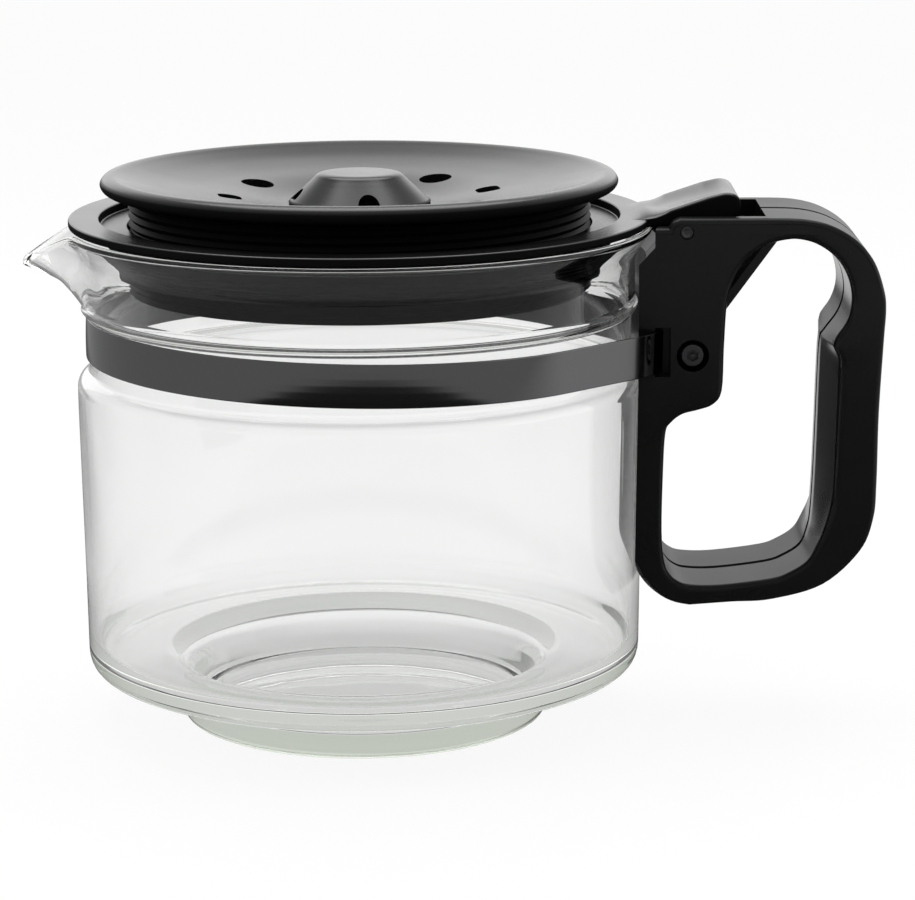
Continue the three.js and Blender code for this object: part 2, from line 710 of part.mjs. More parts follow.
hollowGeometry.rotateX(Math.PI / 2);
hollowGeometry.rotateZ(Math.PI / 2);
hollowGeometry.rotateY(-leverSlope);
hollowGeometry.translate(pinX - 9.5, 0, ringTop + 1.6);
const ring = aboutZ(ringLoop, LID_FACETS)
  .add(slab(leverOutline, -LEVER_W / 2, LEVER_W / 2, LEVER_EDGE))
  .subtract(solid(hollowGeometry))
  .subtract(rodY(PIN_R + PIN_PLAY, -LEVER_W, LEVER_W, pinX, pinZ, SMALL_FACETS));
piece('lid_ring', ring, 0x1d1d1f, 0.4, 0);

// Sleeve with a right-handed outside thread
function threadedSleeve() {
  const rows = Math.ceil((sleeveTop - sleeveZ) / (THREAD_LEAD / 2)) + 2;
  const loopLength = rows + 3;
  const points = [];
  const faces = [];
  for (let i = 0; i <= LID_FACETS; i += 1) {
    const a = (2 * Math.PI * i) / LID_FACETS;
    const add = (r, z) => points.push(r * Math.cos(a), r * Math.sin(a), z);
    const rise = (THREAD_LEAD * i) / LID_FACETS;
    add(sleeveInR, sleeveZ);
    for (let k = 0; k <= rows; k += 1) {
      const z = sleeveZ + (k - 2) * (THREAD_LEAD / 2) + rise;
      const held = Math.min(Math.max(z, sleeveZ), sleeveTop);
      const crest = 1 - Math.abs(((held - z) / (THREAD_LEAD / 2)) % 2);
      const share = k % 2 === 0 ? Math.abs(crest) : 1 - Math.abs(crest);
      add(sleeveR - THREAD_H * share, held);
    }
    add(sleeveInR, sleeveTop);
  }
  const n = loopLength;
  for (let i = 0; i < LID_FACETS; i += 1) {
    for (let j = 0; j < n; j += 1) {
      const k = (j + 1) % n;
      faces.push(i * n + j, (i + 1) * n + j, (i + 1) * n + k);
      faces.push(i * n + j, (i + 1) * n + k, i * n + k);
    }
  }
  const geometry = new THREE.BufferGeometry();
  geometry.setAttribute('position', new THREE.Float32BufferAttribute(points, 3));
  geometry.setIndex(faces);
  return solid(geometry);
}
piece('lid_sleeve', threadedSleeve(), 0x101011, 0.35, 0);

// Dish: hollow cone with a thick rounded rim, on a spigot inside the sleeve
const holeR = KNOB_COLLAR_R + 0.4;
const spigotR = sleeveInR - SEAT_GAP;
const dishTopLine = [
  [holeR, dishFloor],
  [KNOB_BASE_R, dishFloor],
  [VENT_RING_R, dishTop - 5.2],
  [dishR - 13, dishTop - 2.5],
  [dishR - 7, dishTop - 1.0],
  [dishR - 4.2, dishTop - 0.2],
  [dishR - 2.6, dishTop],
  [dishR - 1.0, dishTop - 0.5],
  [dishR - 0.2, dishTop - 1.4],
  [dishR, dishTop - 2.2],
  [dishR - 0.5, dishTop - 3.2],
];
const dishUnderLine = [
  [dishR - 1.6, dishTop - 3.9],
  [dishR - 3.5, dishTop - 4.4],
  [sleeveR + 0.4, dishZ],
  [spigotR, dishZ],
  [spigotR, dishZ - SPIGOT_H],
  [spigotR - SPIGOT_T, dishZ - SPIGOT_H],
  [spigotR - SPIGOT_T, dishTop - 2.6 - DISH_T],
  [dishR - 13, dishTop - 2.5 - DISH_T],
  [VENT_RING_R, dishTop - 5.2 - DISH_T],
  [KNOB_BASE_R, dishFloor - DISH_T],
  [holeR, dishFloor - DISH_T],
];
const turnStep = THREE.MathUtils.degToRad(DISH_TURN);
let dish = aboutZ([...dishTopLine, ...dishUnderLine], LID_FACETS);
for (let i = 0; i < 4; i += 1) {
  const round = turnStep + ((i + 0.5) * Math.PI) / 2;
  const cx = VENT_RING_R * Math.cos(round);
  const cy = VENT_RING_R * Math.sin(round);
  dish = dish.subtract(prism(arc(cx, cy, VENT_R, 0, 345, 23), dishFloor - 6, dishTop));
  const slot = box(
    VENT_RING_R - VENT_SLOT_W / 2,
    VENT_RING_R + VENT_SLOT_W / 2,
    -VENT_SLOT_L / 2,
    VENT_SLOT_L / 2,
    dishFloor - 6,
    dishTop,
  );
  dish = dish.subtract(slot.rotate([0, 0, DISH_TURN + 90 * i]));
}
piece('lid_dish', dish, 0x1b1b1d, 0.4, 0);

// Knob: hollow cone on a flange, a collar down through the dish, four arches at its foot
const knobZ = dishFloor + SEAT_GAP;
const flangeZ = knobZ + KNOB_FLANGE;
const knobTop = knobZ + KNOB_H;
const knobLoop = [
  [0, knobTop],
  [KNOB_TOP_R - 1.8, knobTop],
  [KNOB_TOP_R - 0.6, knobTop - 0.4],
  [KNOB_TOP_R + 0.2, knobTop - 1.1],
  [KNOB_BASE_R - 0.4, flangeZ],
  [KNOB_BASE_R, knobZ + 0.3],
  [KNOB_BASE_R, knobZ],
  [KNOB_COLLAR_R, knobZ],
  [KNOB_COLLAR_R, knobZ - KNOB_COLLAR_H],
  [KNOB_COLLAR_R - KNOB_WALL, knobZ - KNOB_COLLAR_H],
  [KNOB_COLLAR_R - KNOB_WALL, flangeZ],
  [KNOB_TOP_R - KNOB_WALL, knobTop - KNOB_WALL - 0.6],
  [KNOB_TOP_R - KNOB_WALL - 1.4, knobTop - KNOB_WALL],
  [0, knobTop - KNOB_WALL],
];
let knob = aboutZ(knobLoop, LID_FACETS);
const archOutline = arc(0, flangeZ, KNOB_ARCH_R, 0, 180, 10);
for (let i = 0; i < 4; i += 1) {
  const archCut = slab(archOutline, -KNOB_BASE_R - 2, -KNOB_TOP_R + 0.5, 0);
  knob = knob.subtract(archCut.rotate([0, 0, DISH_TURN + 90 * i]));
}
piece('lid_knob', knob, 0x1b1b1d, 0.4, 0);

export default group;
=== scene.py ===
import math

import bmesh
import bpy
from mathutils import Matrix, Vector, geometry


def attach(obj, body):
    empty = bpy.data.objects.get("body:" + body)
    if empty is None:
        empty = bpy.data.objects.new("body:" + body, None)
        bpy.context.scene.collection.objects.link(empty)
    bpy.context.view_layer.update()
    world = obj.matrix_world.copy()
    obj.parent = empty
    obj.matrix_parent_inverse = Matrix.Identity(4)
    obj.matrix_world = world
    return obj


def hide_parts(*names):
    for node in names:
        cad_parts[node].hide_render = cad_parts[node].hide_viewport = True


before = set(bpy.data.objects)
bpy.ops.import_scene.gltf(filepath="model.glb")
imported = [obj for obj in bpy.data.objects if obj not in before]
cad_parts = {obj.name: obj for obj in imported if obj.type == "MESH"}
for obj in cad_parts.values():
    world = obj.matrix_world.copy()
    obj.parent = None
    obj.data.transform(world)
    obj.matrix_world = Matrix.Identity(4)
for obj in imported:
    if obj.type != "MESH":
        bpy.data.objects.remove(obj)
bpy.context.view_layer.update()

# A glass coffee carafe: jug, neck band, two handle shells with their screw, and a hinged lid whose dish
# screws up and down in a ring. The main sizes are those of the solids, in millimetres until add() is called.
MM = 0.001

# Jug
BODY_R = 67.9
BASE_R = 66.85
WALL = 1.55
WALL_Z = 36.0
FLOOR_Z = 16.5
LIP_R = 44.0
WELL_R = 39.4
WELL_Z = 4.8
FOOT_R = 44.5
FOOT_H = 12.7
SHOULDER_Z = 83.0
GROOVE_R = 64.8
GROOVE_Z = 85.4
BEAD_R = 66.4
BEAD_Z = 99.8
BEAD_H = 2.3
NECK_R = 65.6
NECK_Z = 102.1
FLARE_Z = 112.4
RIM_R = 69.6
RIM_Z = 120.1
SPOUT_REACH = 11.5
SPOUT_DROP = 8.2
SPOUT_HALF = math.radians(25)
SPOUT_CROWDING = 0.5
LIP_T = 1.6
TAPER = 0.3
RIM_SWELL = 0.15

# Powers that shape the spout: its width at the neck and at the lip, its lean, its sag, and the rim's flare
BEAK_WIDTH = 1.2
BEAK_NARROWING = 1.9
SPOUT_LEAN = 1.25
SPOUT_SAG = 0.8
FLARE_POWER = 1.4

# Neck band
BAND_T = 0.6
BAND_GAP = 0.25
BAND_LOW = 88.12
BAND_TOP = 98.12
BAND_TILT = math.radians(1.2)
BAND_BULGE = 0.12
BAND_EDGE = 0.22
BAND_BEND = 2.0
BEND_LENGTH = 12.0
BEND_SHARE_X = 0.43
BEND_SHARE_Y = 0.37
CROWN_END_X = (36, 50)

# Handle, screw and hinge pin
HALF_W = 18.5
SEAM = 0.22
SEAM_EDGE = 0.9
SEAM_DEEP = 0.9
EDGE = 1.3
PLATE = 3.0
FACE = 68.2
RIGHT = 123.8
GRIP_X = 109.3
GRIP_FLAT = 4.0
GRIP_ROUND = 3.8
LEG_X = 71.7
BAR_Z = 30.1
BAR_TOP = 35.1
CHEEK_X = 85.8
CHEEK_LOW = 78.0
CHEEK_TOP = 123.2
ARCH_Z = 118.2
PIN_X = 76.8
PIN_Z = 120.0
PIN_R = 1.55
POCKET_END = 95.5
POCKET_HALF = 14.2
POCKET_LOW = 116.0
SCREW_X = 78.4
SCREW_Z = 90.8
HOOK_X = 70.3
HOOK_DEPTH = 2.4
SLOT_BACK = 0.8
SLOT_W = 3.7
SLOT_PLAY = 0.9
BOSS_R = 5.0
SCREW_BORE_R = 1.7
SHANK_R = 1.5
HEAD_R = 2.6
HEAD_H = 1.9
SUNK = 0.4
NUT_R = 5.5 / math.sqrt(3)
NUT_H = 2.4
PIN_PLAY = 0.08

# Lid
RING_R = 69.2
RING_Z = 120.45
RING_TOP = 122.4
TROUGH_Z = 120.4
TROUGH_R = 62.0
SKIRT_R = 61.6
SKIRT_Z = 110.0
BORE_R = 55.3
LEVER_HALF = 13.5
LEVER_END = 90.0
LEVER_TOP = 128.7
LEVER_EDGE = 1.0
LEVER_RISE = 1.6
LEVER_SLOPE = 0.249
LEVER_LEVELS = (-11.6, -10.5, -9, -7, -4.5, -2, 0)
KNUCKLE_R = 3.6
ROOT_DROP = 0.85
HOLLOW_POWER = 1.3
HOLLOW_HALF = 12.6
HOLLOW_DEEP = 1.3
RIDGE_DEEP = 0.4
RIDGE_HALF = 0.45
RIDGE_PLACES = (0.2, 0.36, 0.52, 0.68)
SLEEVE_R = 55.0
SLEEVE_IN = 52.2
SLEEVE_Z = 105.0
SLEEVE_TOP = 127.1
THREAD_LEAD = 2.0
THREAD_H = 0.8
DISH_R = 61.5
DISH_Z = 127.4
DISH_TOP = 132.4
DISH_FLOOR = 124.9
DISH_T = 2.2
DISH_HOLE_R = 14.8
SPIGOT_R = 51.9
SPIGOT_H = 4.2
VENT_RING = 31.0
VENT_R = 4.0
VENT_HALF_W = 2.8
VENT_HALF_L = 3.6
VENT_CORNER = 2.4
VENT_DEPTH = 6
DISH_TURN = math.radians(9.7)
KNOB_BASE = 17.0
KNOB_TOP_R = 10.6
KNOB_Z = 125.2
KNOB_TOP = 132.2
KNOB_ARCH_R = 2.6
COLLAR_R = 14.4
COLLAR_IN = 12.9
COLLAR_H = 3.6
QUARTERS = 4

# Facets of the turned and swept pieces
ROUND_STEPS = 192
KNOB_STEPS = 144
THREAD_STEPS = 160
ROOM_STEPS = 240
ROD_STEPS = 48
HEX_STEPS = 6
BAND_STEPS = 168
STRIP_STEPS = 24
RIM_STEPS = 7
EDGE_STEPS = 4
LEVER_EDGE_STEPS = 5

# Limits of the mesh code; the two weld distances are in metres
MOST_REACH = 0.49
NO_ROUNDING = 1e-4
ON_AXIS = 1e-6
LEAST_COSINE = 0.6
WELD_NEW = 2e-7
WELD_CUT = 1e-6
SHARP_ANGLE = 38
NORMAL_WEIGHT = 80


# Curves
def smoothstep(value, low, high):
    """0 below low, 1 above high, smooth between."""
    t = min(max((value - low) / (high - low), 0.0), 1.0)
    return t * t * (3 - 2 * t)


def smoothed(points, steps, closed=False):
    """A Catmull-Rom curve through the points."""
    n = len(points)
    out = []
    for i in range(n if closed else n - 1):
        if closed:
            four = [points[(i + k) % n] for k in (-1, 0, 1, 2)]
        else:
            four = [points[min(max(i + k, 0), n - 1)] for k in (-1, 0, 1, 2)]
        for k in range(steps):
            t = k / steps
            out.append(tuple(
                0.5 * (2 * b + (c - a) * t + (2 * a - 5 * b + 4 * c - d) * t ** 2
                       + (3 * b - a - 3 * c + d) * t ** 3)
                for a, b, c, d in zip(*four)))
    if not closed:
        out.append(tuple(points[-1]))
    return out


def softened(loop, radius, steps=4, closed=True):
    """A line with its corners rounded; a third number in a point is that corner's own reach."""
    out = []
    n = len(loop)
    for i, point in enumerate(loop):
        here = Vector(point[:2])
        size = point[2] if len(point) > 2 else radius
        if not closed and i in (0, n - 1):
            size = 0
        before = Vector(loop[i - 1][:2]) - here
        after = Vector(loop[(i + 1) % n][:2]) - here
        reach = min(size, before.length * MOST_REACH, after.length * MOST_REACH)
        if reach < NO_ROUNDING:
            out.append(tuple(here))
            continue
        a = here + before.normalized() * reach
        b = here + after.normalized() * reach
        for k in range(steps + 1):
            t = k / steps
            p = a * (1 - t) ** 2 + here * 2 * t * (1 - t) + b * t ** 2
            out.append((p.x, p.y))
    return out


def arc(x, z, radius, start, end, count):
    """Points on a circle between two angles in degrees."""
    step = math.radians(end - start) / count
    first = math.radians(start)
    return [(x + radius * math.cos(first + step * i), z + radius * math.sin(first + step * i))
            for i in range(count + 1)]


# Meshes
def add(name, points, faces):
    """A new object, in metres, with its points welded and its faces turned outwards."""
    mesh = bpy.data.meshes.new(name)
    mesh.from_pydata([Vector(p) * MM for p in points], [], faces)
    bm = bmesh.new()
    bm.from_mesh(mesh)
    bmesh.ops.remove_doubles(bm, verts=bm.verts, dist=WELD_NEW)
    bmesh.ops.recalc_face_normals(bm, faces=bm.faces)
    bm.to_mesh(mesh)
    bm.free()
    obj = bpy.data.objects.new(name, mesh)
    bpy.context.scene.collection.objects.link(obj)
    return obj


def about_z(r, z, a):
    return r * math.cos(a), r * math.sin(a), z


def revolved(name, loop, segments, place=about_z):
    """A closed [radius, height] loop turned about an axis."""
    points = []
    faces = []
    n = len(loop)
    for i in range(segments):
        a = 2 * math.pi * i / segments
        points += [place(r, z, a) for r, z in loop]
    for i in range(segments):
        j = (i + 1) % segments
        for k in range(n):
            m = (k + 1) % n
            if loop[k][0] < ON_AXIS and loop[m][0] < ON_AXIS:
                continue
            if loop[k][0] < ON_AXIS:
                faces.append((i * n + k, j * n + m, i * n + m))
            elif loop[m][0] < ON_AXIS:
                faces.append((i * n + k, j * n + k, i * n + m))
            else:
                faces.append((i * n + k, j * n + k, j * n + m, i * n + m))
    return add(name, points, faces)


def rod_y(name, loop, x, z, segments):
    """A closed [radius, Y] loop turned about an axis along Y."""
    turn = math.pi / segments
    return revolved(name, loop, segments, lambda r, y, a: (
        x + r * math.cos(a + turn), y, z + r * math.sin(a + turn)))


def outward(loop):
    """Each point's outward direction on a counter-clockwise loop, longer at corners."""
    n = len(loop)
    out = []
    for i, (x, z) in enumerate(loop):
        a = Vector((x, z)) - Vector(loop[i - 1])
        b = Vector(loop[(i + 1) % n]) - Vector((x, z))
        a.normalize()
        b.normalize()
        mid = a + b
        mid.normalize()
        stretch = 1 / max(mid.dot(a), LEAST_COSINE)
        out.append((mid.y * stretch, -mid.x * stretch))
    return out


def round_edge(radius, steps):
    """[distance from the face, inset] pairs of a rounded edge."""
    turns = [math.radians(90 * k / steps) for k in range(steps + 1)]
    return [(radius * (1 - math.cos(t)), radius * (1 - math.sin(t))) for t in turns]


def anticlockwise(loop):
    area = sum(loop[i - 1][0] * z - x * loop[i - 1][1] for i, (x, z) in enumerate(loop))
    return list(loop) if area > 0 else list(reversed(loop))


def slab(name, outline, levels, hole=None, warp=None):
    """An outline in X and Z carried through [Y, inset] levels and closed at both ends."""
    loops = [(anticlockwise(outline), -1)]
    if hole:
        loops.append((anticlockwise(hole), 1))
    points = []
    faces = []
    ends = [[], []]
    for loop, sign in loops:
        normals = outward(loop)
        n = len(loop)
        start = len(points)
        for y, inset in levels:
            for (x, z), (nx, nz) in zip(loop, normals):
                p = (x + nx * inset * sign, y, z + nz * inset * sign)
                points.append(warp(p, sign > 0) if warp else p)
        for k in range(len(levels) - 1):
            for i in range(n):
                j = (i + 1) % n
                a = start + k * n
                faces.append((a + i, a + j, a + n + j, a + n + i))
        ends[0].append(range(start, start + n))
        last = start + (len(levels) - 1) * n
        ends[1].append(range(last, last + n))
    for end in ends:
        index = [i for ring in end for i in ring]
        flat = [[Vector((points[i][0], points[i][2], 0)) for i in ring] for ring in end]
        faces += [tuple(index[i] for i in tri) for tri in geometry.tessellate_polygon(flat)]
    return add(name, points, faces)


def carve(obj, tools, operation="DIFFERENCE"):
    """Cuts the tools from an object, or joins them to it, and deletes them."""
    for tool in tools:
        cut = obj.modifiers.new("cut", "BOOLEAN")
        cut.operation = operation
        cut.object = tool
        cut.solver = "EXACT"
    bpy.context.view_layer.update()
    graph = bpy.context.evaluated_depsgraph_get()
    mesh = bpy.data.meshes.new_from_object(obj.evaluated_get(graph))
    obj.modifiers.clear()
    old = obj.data
    obj.data = mesh
    bpy.data.meshes.remove(old)
    mesh.name = obj.name
    for tool in tools:
        data = tool.data
        bpy.data.objects.remove(tool)
        bpy.data.meshes.remove(data)


def dress(obj, body, node, material, sharp=SHARP_ANGLE, weighted=True):
    """Smooth shading between sharp edges, the material, and the body that carries the piece."""
    bm = bmesh.new()
    bm.from_mesh(obj.data)
    bmesh.ops.remove_doubles(bm, verts=bm.verts, dist=WELD_CUT)
    for face in bm.faces:
        face.smooth = True
    for edge in bm.edges:
        if len(edge.link_faces) == 2:
            edge.smooth = edge.calc_face_angle() < math.radians(sharp)
    bm.to_mesh(obj.data)
    bm.free()
    if weighted:
        normals = obj.modifiers.new("normals", "WEIGHTED_NORMAL")
        normals.keep_sharp = True
        normals.weight = NORMAL_WEIGHT
    obj.data.materials.clear()
    obj.data.materials.append(material)
    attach(obj, body)
    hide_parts(node)


# Materials
CLOUD_SCALE = 60
GRAIN_SCALE = 2600
GRAIN_STRENGTH = 0.1
GRAIN_DEPTH = 0.00005
STREAK_SCALE = 900
STREAK_STRENGTH = 0.08
STREAK_DEPTH = 0.00002
PLASTIC_IOR = 1.48
GLASS_IOR = 1.47
GLASS_COLOUR = (0.985, 0.987, 0.985, 1)
GLASS_TINT = (0.71, 0.78, 0.65, 1)
TINT_DENSITY = 10
WAVE_SCALE = 55
WAVE_STRENGTH = 0.06
WAVE_DEPTH = 0.0006
MOST_BOUNCES = 6.5
MOST_MIRRORINGS = 1.5


def material(name):
    """A new material with its nodes and its shader."""
    made = bpy.data.materials.new(name)
    made.use_nodes = True
    tree = made.node_tree
    shader = tree.nodes["Principled BSDF"]
    return made, tree, shader


def noise(tree, scale, detail=3.0, stretch=(1, 1, 1)):
    """Noise fixed to the object."""
    place = tree.nodes.new("ShaderNodeTexCoord")
    mapping = tree.nodes.new("ShaderNodeMapping")
    mapping.inputs["Scale"].default_value = stretch
    tree.links.new(place.outputs["Object"], mapping.inputs["Vector"])
    made = tree.nodes.new("ShaderNodeTexNoise")
    made.inputs["Scale"].default_value = scale
    made.inputs["Detail"].default_value = detail
    tree.links.new(mapping.outputs["Vector"], made.inputs["Vector"])
    return made.outputs["Fac"]


def ranged(tree, value, low, high):
    """A value from 0 to 1 mapped to low to high."""
    made = tree.nodes.new("ShaderNodeMapRange")
    made.inputs["To Min"].default_value = low
    made.inputs["To Max"].default_value = high
    tree.links.new(value, made.inputs["Value"])
    return made.outputs["Result"]


def tinted(tree, value, low, high):
    """A colour between two."""
    made = tree.nodes.new("ShaderNodeMix")
    made.data_type = "RGBA"
    made.inputs["A"].default_value = (*low, 1)
    made.inputs["B"].default_value = (*high, 1)
    tree.links.new(value, made.inputs["Factor"])
    return made.outputs["Result"]


def put(tree, operation, first, second):
    """One arithmetic step; each side is a socket or a number."""
    made = tree.nodes.new("ShaderNodeMath")
    made.operation = operation
    for socket, value in zip(made.inputs, (first, second)):
        if isinstance(value, (int, float)):
            socket.default_value = value
        else:
            tree.links.new(value, socket)
    return made.outputs[0]


def times(tree, *values):
    """The product of sockets and numbers."""
    made = values[0]
    for value in values[1:]:
        made = put(tree, "MULTIPLY", made, value)
    return made


def without(tree, value):
    """What a share leaves of 1."""
    return put(tree, "SUBTRACT", 1, value)


def minus(tree, value):
    return put(tree, "MULTIPLY", value, -1)


def eased(tree, value, low, high):
    """0 below low, 1 above high, smooth between."""
    made = tree.nodes.new("ShaderNodeMapRange")
    made.interpolation_type = "SMOOTHSTEP"
    made.inputs["From Min"].default_value = low
    made.inputs["From Max"].default_value = high
    tree.links.new(value, made.inputs["Value"])
    return made.outputs["Result"]


def place_axes(tree, kind):
    """X, Y and Z of a texture coordinate."""
    place = tree.nodes.new("ShaderNodeTexCoord")
    split = tree.nodes.new("ShaderNodeSeparateXYZ")
    tree.links.new(place.outputs[kind], split.inputs["Vector"])
    return split.outputs


def squared(tree, value, middle, reach):
    made = put(tree, "DIVIDE", put(tree, "SUBTRACT", value, middle), reach)
    return times(tree, made, made)


def oval(tree, axes, middle, reach, low, high):
    """0 inside an oval on the floor, 1 outside it."""
    first, second = (squared(tree, *one) for one in zip(axes, middle, reach))
    return eased(tree, put(tree, "ADD", first, second), low, high)


def bumped(tree, shader, value, strength, distance):
    made = tree.nodes.new("ShaderNodeBump")
    made.inputs["Strength"].default_value = strength
    made.inputs["Distance"].default_value = distance
    tree.links.new(value, made.inputs["Height"])
    tree.links.new(made.outputs["Normal"], shader.inputs["Normal"])


def plastic(name, dark, light, smooth, rough, up_painted_gloss, side_painted_gloss, side_rough, low, high):
    """Moulded plastic whose specular level and roughness change with how far a face looks up, from low to
    high on the normal's Z; the specular change is painted sheen and painted shade by facing.
    """
    made, tree, shader = material(name)
    cloud = noise(tree, CLOUD_SCALE, 4)
    tree.links.new(tinted(tree, cloud, dark, light), shader.inputs["Base Color"])
    up = eased(tree, place_axes(tree, "Normal")[2], low, high)
    # Painted sheen and shade: the specular level follows the normal's Z, not a change in the plastic.
    tree.links.new(ranged(tree, up, side_painted_gloss, up_painted_gloss), shader.inputs["Specular IOR Level"])
    polish = ranged(tree, up, side_rough, smooth)
    spread = times(tree, cloud, rough - smooth)
    tree.links.new(put(tree, "ADD", polish, spread), shader.inputs["Roughness"])
    bumped(tree, shader, noise(tree, GRAIN_SCALE, 2), GRAIN_STRENGTH, GRAIN_DEPTH)
    shader.inputs["IOR"].default_value = PLASTIC_IOR
    return made


def metal(name, dark, light, smooth, rough, metallic, stretch):
    """Metal or lacquered metal with fine streaks."""
    made, tree, shader = material(name)
    streak = noise(tree, STREAK_SCALE, 3, stretch)
    tree.links.new(tinted(tree, streak, dark, light), shader.inputs["Base Color"])
    tree.links.new(ranged(tree, streak, smooth, rough), shader.inputs["Roughness"])
    bumped(tree, shader, streak, STREAK_STRENGTH, STREAK_DEPTH)
    shader.inputs["Metallic"].default_value = metallic
    return made


def clear_glass():
    """Faintly green glass; a ray that stays inside too long goes straight on, so that no part turns black."""
    made, tree, shader = material("clear_glass")
    shader.inputs["Base Color"].default_value = GLASS_COLOUR
    shader.inputs["Roughness"].default_value = 0.0
    shader.inputs["IOR"].default_value = GLASS_IOR
    shader.inputs["Transmission Weight"].default_value = 1.0
    bumped(tree, shader, noise(tree, WAVE_SCALE, 1, (1, 1, 0.4)), WAVE_STRENGTH, WAVE_DEPTH)
    tint = tree.nodes.new("ShaderNodeVolumeAbsorption")
    tint.inputs["Color"].default_value = GLASS_TINT
    tint.inputs["Density"].default_value = TINT_DENSITY
    path = tree.nodes.new("ShaderNodeLightPath")
    trapped = put(tree, "MAXIMUM", put(tree, "GREATER_THAN", path.outputs["Ray Depth"], MOST_BOUNCES),
                  put(tree, "GREATER_THAN", path.outputs["Glossy Depth"], MOST_MIRRORINGS))
    straight = tree.nodes.new("ShaderNodeBsdfTransparent")
    mix = tree.nodes.new("ShaderNodeMixShader")
    tree.links.new(trapped, mix.inputs["Fac"])
    tree.links.new(shader.outputs["BSDF"], mix.inputs[1])
    tree.links.new(straight.outputs["BSDF"], mix.inputs[2])
    end = tree.nodes["Material Output"]
    tree.links.new(mix.outputs["Shader"], end.inputs["Surface"])
    tree.links.new(tint.outputs["Volume"], end.inputs["Volume"])
    return made


# Handle: its sides take more specular level, a painted highlight along the grip's inner faces. Lid: its sides
# take almost none, painted shade on the lid's side faces, the ring's skirt among them.
handle_plastic = plastic(
    "handle_plastic", dark=(0.006, 0.006, 0.006), light=(0.009, 0.009, 0.009), smooth=0.32, rough=0.38,
    up_painted_gloss=0.11, side_painted_gloss=0.28, side_rough=0.13, low=0.15, high=0.5)
lid_plastic = plastic(
    "lid_plastic", dark=(0.003, 0.003, 0.0032), light=(0.005, 0.005, 0.0053), smooth=0.22, rough=0.30,
    up_painted_gloss=0.5, side_painted_gloss=0.015, side_rough=0.6, low=0.3, high=0.8)
# Painted shade: a darker, duller copy of the lid plastic for the sleeve, which sits in the shade under the
# dish.
sleeve_plastic_painted_shade = plastic(
    "sleeve_plastic_painted_shade", dark=(0.002, 0.002, 0.0022), light=(0.004, 0.004, 0.0042), smooth=0.40, rough=0.5,
    up_painted_gloss=0.12, side_painted_gloss=0.01, side_rough=0.6, low=0.3, high=0.8)
band_metal = metal(
    "band_metal", dark=(0.19, 0.19, 0.195), light=(0.23, 0.23, 0.235), smooth=0.08, rough=0.13,
    metallic=1.0, stretch=(1, 1, 12))
# Painted shade: the band metal again, darker, for the band's inner faces close against the glass.
band_inside_painted_shade = metal(
    "band_inside_painted_shade", dark=(0.05, 0.05, 0.052), light=(0.07, 0.07, 0.072), smooth=0.15, rough=0.22,
    metallic=1.0, stretch=(1, 1, 12))
black_steel = metal(
    "black_steel", dark=(0.045, 0.045, 0.048), light=(0.075, 0.075, 0.079), smooth=0.28, rough=0.42,
    metallic=0.6, stretch=(1, 12, 1))
plain_steel = metal(
    "plain_steel", dark=(0.48, 0.48, 0.50), light=(0.58, 0.58, 0.60), smooth=0.22, rough=0.36,
    metallic=1.0, stretch=(1, 12, 1))
glass = clear_glass()


# Glass jug
def jug_point(r, z, turn):
    """The neck drawn out and down over a sector that faces -X, narrowest and thickest at the lip."""
    a = turn + SPOUT_CROWDING * math.sin(turn)
    off = abs(math.pi - a) / SPOUT_HALF
    lip = max(0.0, (z - BEAD_Z) / (RIM_Z - NECK_Z + BEAD_H))
    side = math.cos(off * math.pi / 2) ** 2 if off < 1 else 0.0
    beak = side ** (BEAK_WIDTH + BEAK_NARROWING * lip)
    out = SPOUT_REACH * beak * lip ** SPOUT_LEAN
    down = SPOUT_DROP * beak * lip ** SPOUT_SAG
    flare = max(0.0, (z - FLARE_Z + 1) / (RIM_Z - FLARE_Z + 1))
    middle = NECK_R - WALL / 2 + (RIM_R - NECK_R + 0.4) * flare ** FLARE_POWER
    down += LIP_T * beak * smoothstep(lip, 0.55, 1.0) * min(max((r - middle) / WALL, -0.5), 0.5)
    return (r + out) * math.cos(a), (r + out) * math.sin(a), z - down


